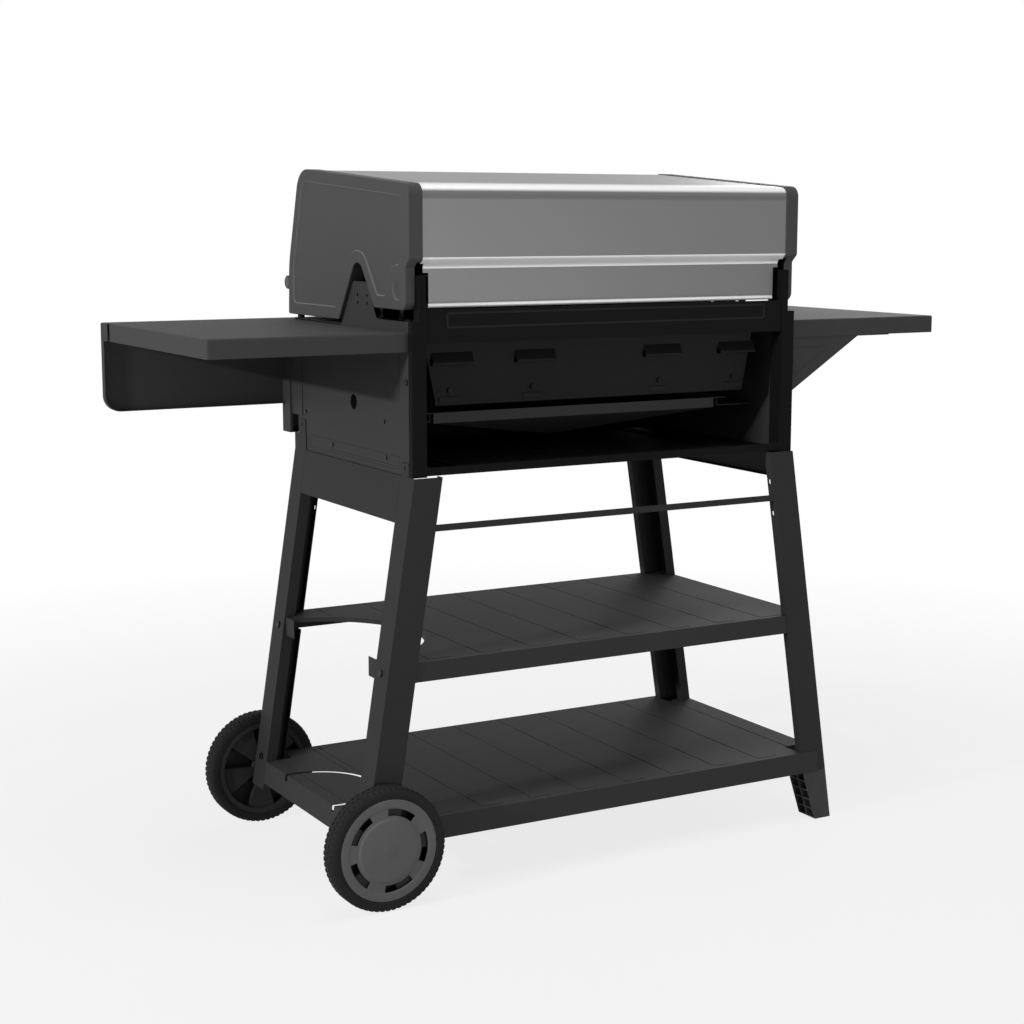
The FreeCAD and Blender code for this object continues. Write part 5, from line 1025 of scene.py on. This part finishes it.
# %% Dial pointer
NEEDLE_SIZE = (1.6 * MM, 0.4 * MM, 26.0 * MM)
NEEDLE_OUT = 7.0 * MM
POINTER_AHEAD = 0.8 * MM
BOSS_R, BOSS_FRONT_R, BOSS_THICK, BOSS_SIDES = 3.2 * MM, 2.6 * MM, 1.0 * MM, 32
pointer_red = grained("pointer_red", (0.35, 0.02, 0.015), 0.4, bloom=1.05)
pointer_place = in_front(CARD_THICK + POINTER_AHEAD)
pointer = bmesh.new()
bar(pointer, NEEDLE_SIZE, pointer_place @ turned(0.0) @ Matrix.Translation((0.0, 0.0, NEEDLE_OUT)))
bmesh.ops.create_cone(pointer, cap_ends=True, segments=BOSS_SIDES, radius1=BOSS_R, radius2=BOSS_FRONT_R,
                      depth=BOSS_THICK, matrix=pointer_place @ FACING)
finished(pointer, "dial_pointer", [pointer_red], "lid")
print("needle length mm:", NEEDLE_SIZE[2] / MM)

# %% [markdown]
# ## Floor
# The grill stands on a pale floor that keeps its shadow. More light would also whiten the floor, but would bleach the
# grill. Where the camera or a reflection sees the floor, part of its white is emission instead, and more of it with
# distance, so that the floor meets the white world without a horizon.

# %% Floor
FLOOR_HALF = 30.0
FLOOR_SHADE = 0.6
SHADOW_REACH = 2.6
FADE_FROM, FADE_TO = 0.45, 1.0
GLOW_NEAR, GLOW_FAR = 0.8, 1.0

floor_mesh = bmesh.new()
bmesh.ops.create_grid(floor_mesh, x_segments=1, y_segments=1, size=FLOOR_HALF)
floor_data = bpy.data.meshes.new("floor")
floor_mesh.to_mesh(floor_data)
floor_mesh.free()
floor = bpy.data.objects.new("floor", floor_data)
bpy.context.scene.collection.objects.link(floor)

pale = Finish("pale_floor", Base_Color=grey(FLOOR_SHADE), Roughness=0.9, Specular_IOR_Level=0.0)
away = pale.node("ShaderNodeVectorMath", {"operation": "LENGTH"}, {0: pale.place}, output="Value")
fade = pale.ramp(away * (1 / SHADOW_REACH), FADE_FROM, FADE_TO, dark=GLOW_NEAR, light=GLOW_FAR)
white = pale.node("ShaderNodeEmission", inputs={"Color": grey(1.0), "Strength": 1.0})
own = Socket(pale, pale.shader.outputs[0])
seen = pale.node("ShaderNodeMixShader", inputs={0: fade * pale.looked_at(), 1: own, 2: white})
pale.tree.links.new(seen.out, pale.tree.nodes["Material Output"].inputs["Surface"])
floor_data.materials.append(pale.material)
print("floor half width:", FLOOR_HALF)

# %% [markdown]
# ## World
# The grill stands in a white studio, and its steel mirrors it. A plain white world would light the dark paint too
# much, so the world is white only where the camera, a reflection or glass sees it, and a softer grey as light.

# %% World
WORLD_LIGHT = 0.27
world = bpy.data.worlds.new("studio")
bpy.context.scene.world = world
world.use_nodes = True
sky = Graph(world.node_tree)
backdrop = sky.tree.nodes["Background"]
backdrop.inputs["Color"].default_value = grey(1.0)
backdrop.inputs["Strength"].default_value = 1.0
shown = Socket(sky, backdrop.outputs[0])
glow = sky.node("ShaderNodeBackground", inputs={"Color": grey(1.0), "Strength": WORLD_LIGHT})
blend = sky.node("ShaderNodeMixShader", inputs={0: sky.looked_at(), 1: glow, 2: shown})
sky.tree.links.new(blend.out, sky.tree.nodes["World Output"].inputs["Surface"])
print("world light:", WORLD_LIGHT)

# %% [markdown]
# ## Lamps
# A small lamp from the wheel end makes the end faces brighter than the back, a low wide one lights the back, and two
# softer ones fill the top and the cook's side. Point lamps would do, but the size of an area lamp sets how soft its
# shadow is.

# %% Lamps
# Place, target, size, watts
LAMPS = {
    "end_lamp": ((5.5, 1.0, 2.05), (0.0, 0.0, 0.7), (0.5, 0.12), 170.0),
    "back_lamp": ((-0.6, 4.6, 0.55), (0.0, 0.0, 0.75), (3.0, 0.7), 36.0),
    "top_lamp": ((0.3, 0.8, 4.5), (0.0, 0.0, 0.9), (2.0, 2.0), 60.0),
    "front_lamp": ((-4.4, -3.4, 2.4), (0.0, 0.0, 0.8), (2.5, 1.5), 70.0),
}
for name, (place, target, size, watts) in LAMPS.items():
    data = bpy.data.lights.new(name, "AREA")
    data.shape = "RECTANGLE"
    data.size, data.size_y = size
    data.energy = watts
    lamp = bpy.data.objects.new(name, data)
    bpy.context.scene.collection.objects.link(lamp)
    lamp.location = place
    lamp.rotation_mode = "QUATERNION"
    lamp.rotation_quaternion = (Vector(target) - Vector(place)).to_track_quat("-Z", "Y")
bpy.context.scene.view_settings.view_transform = "Standard"
print("lamps:", len(LAMPS))
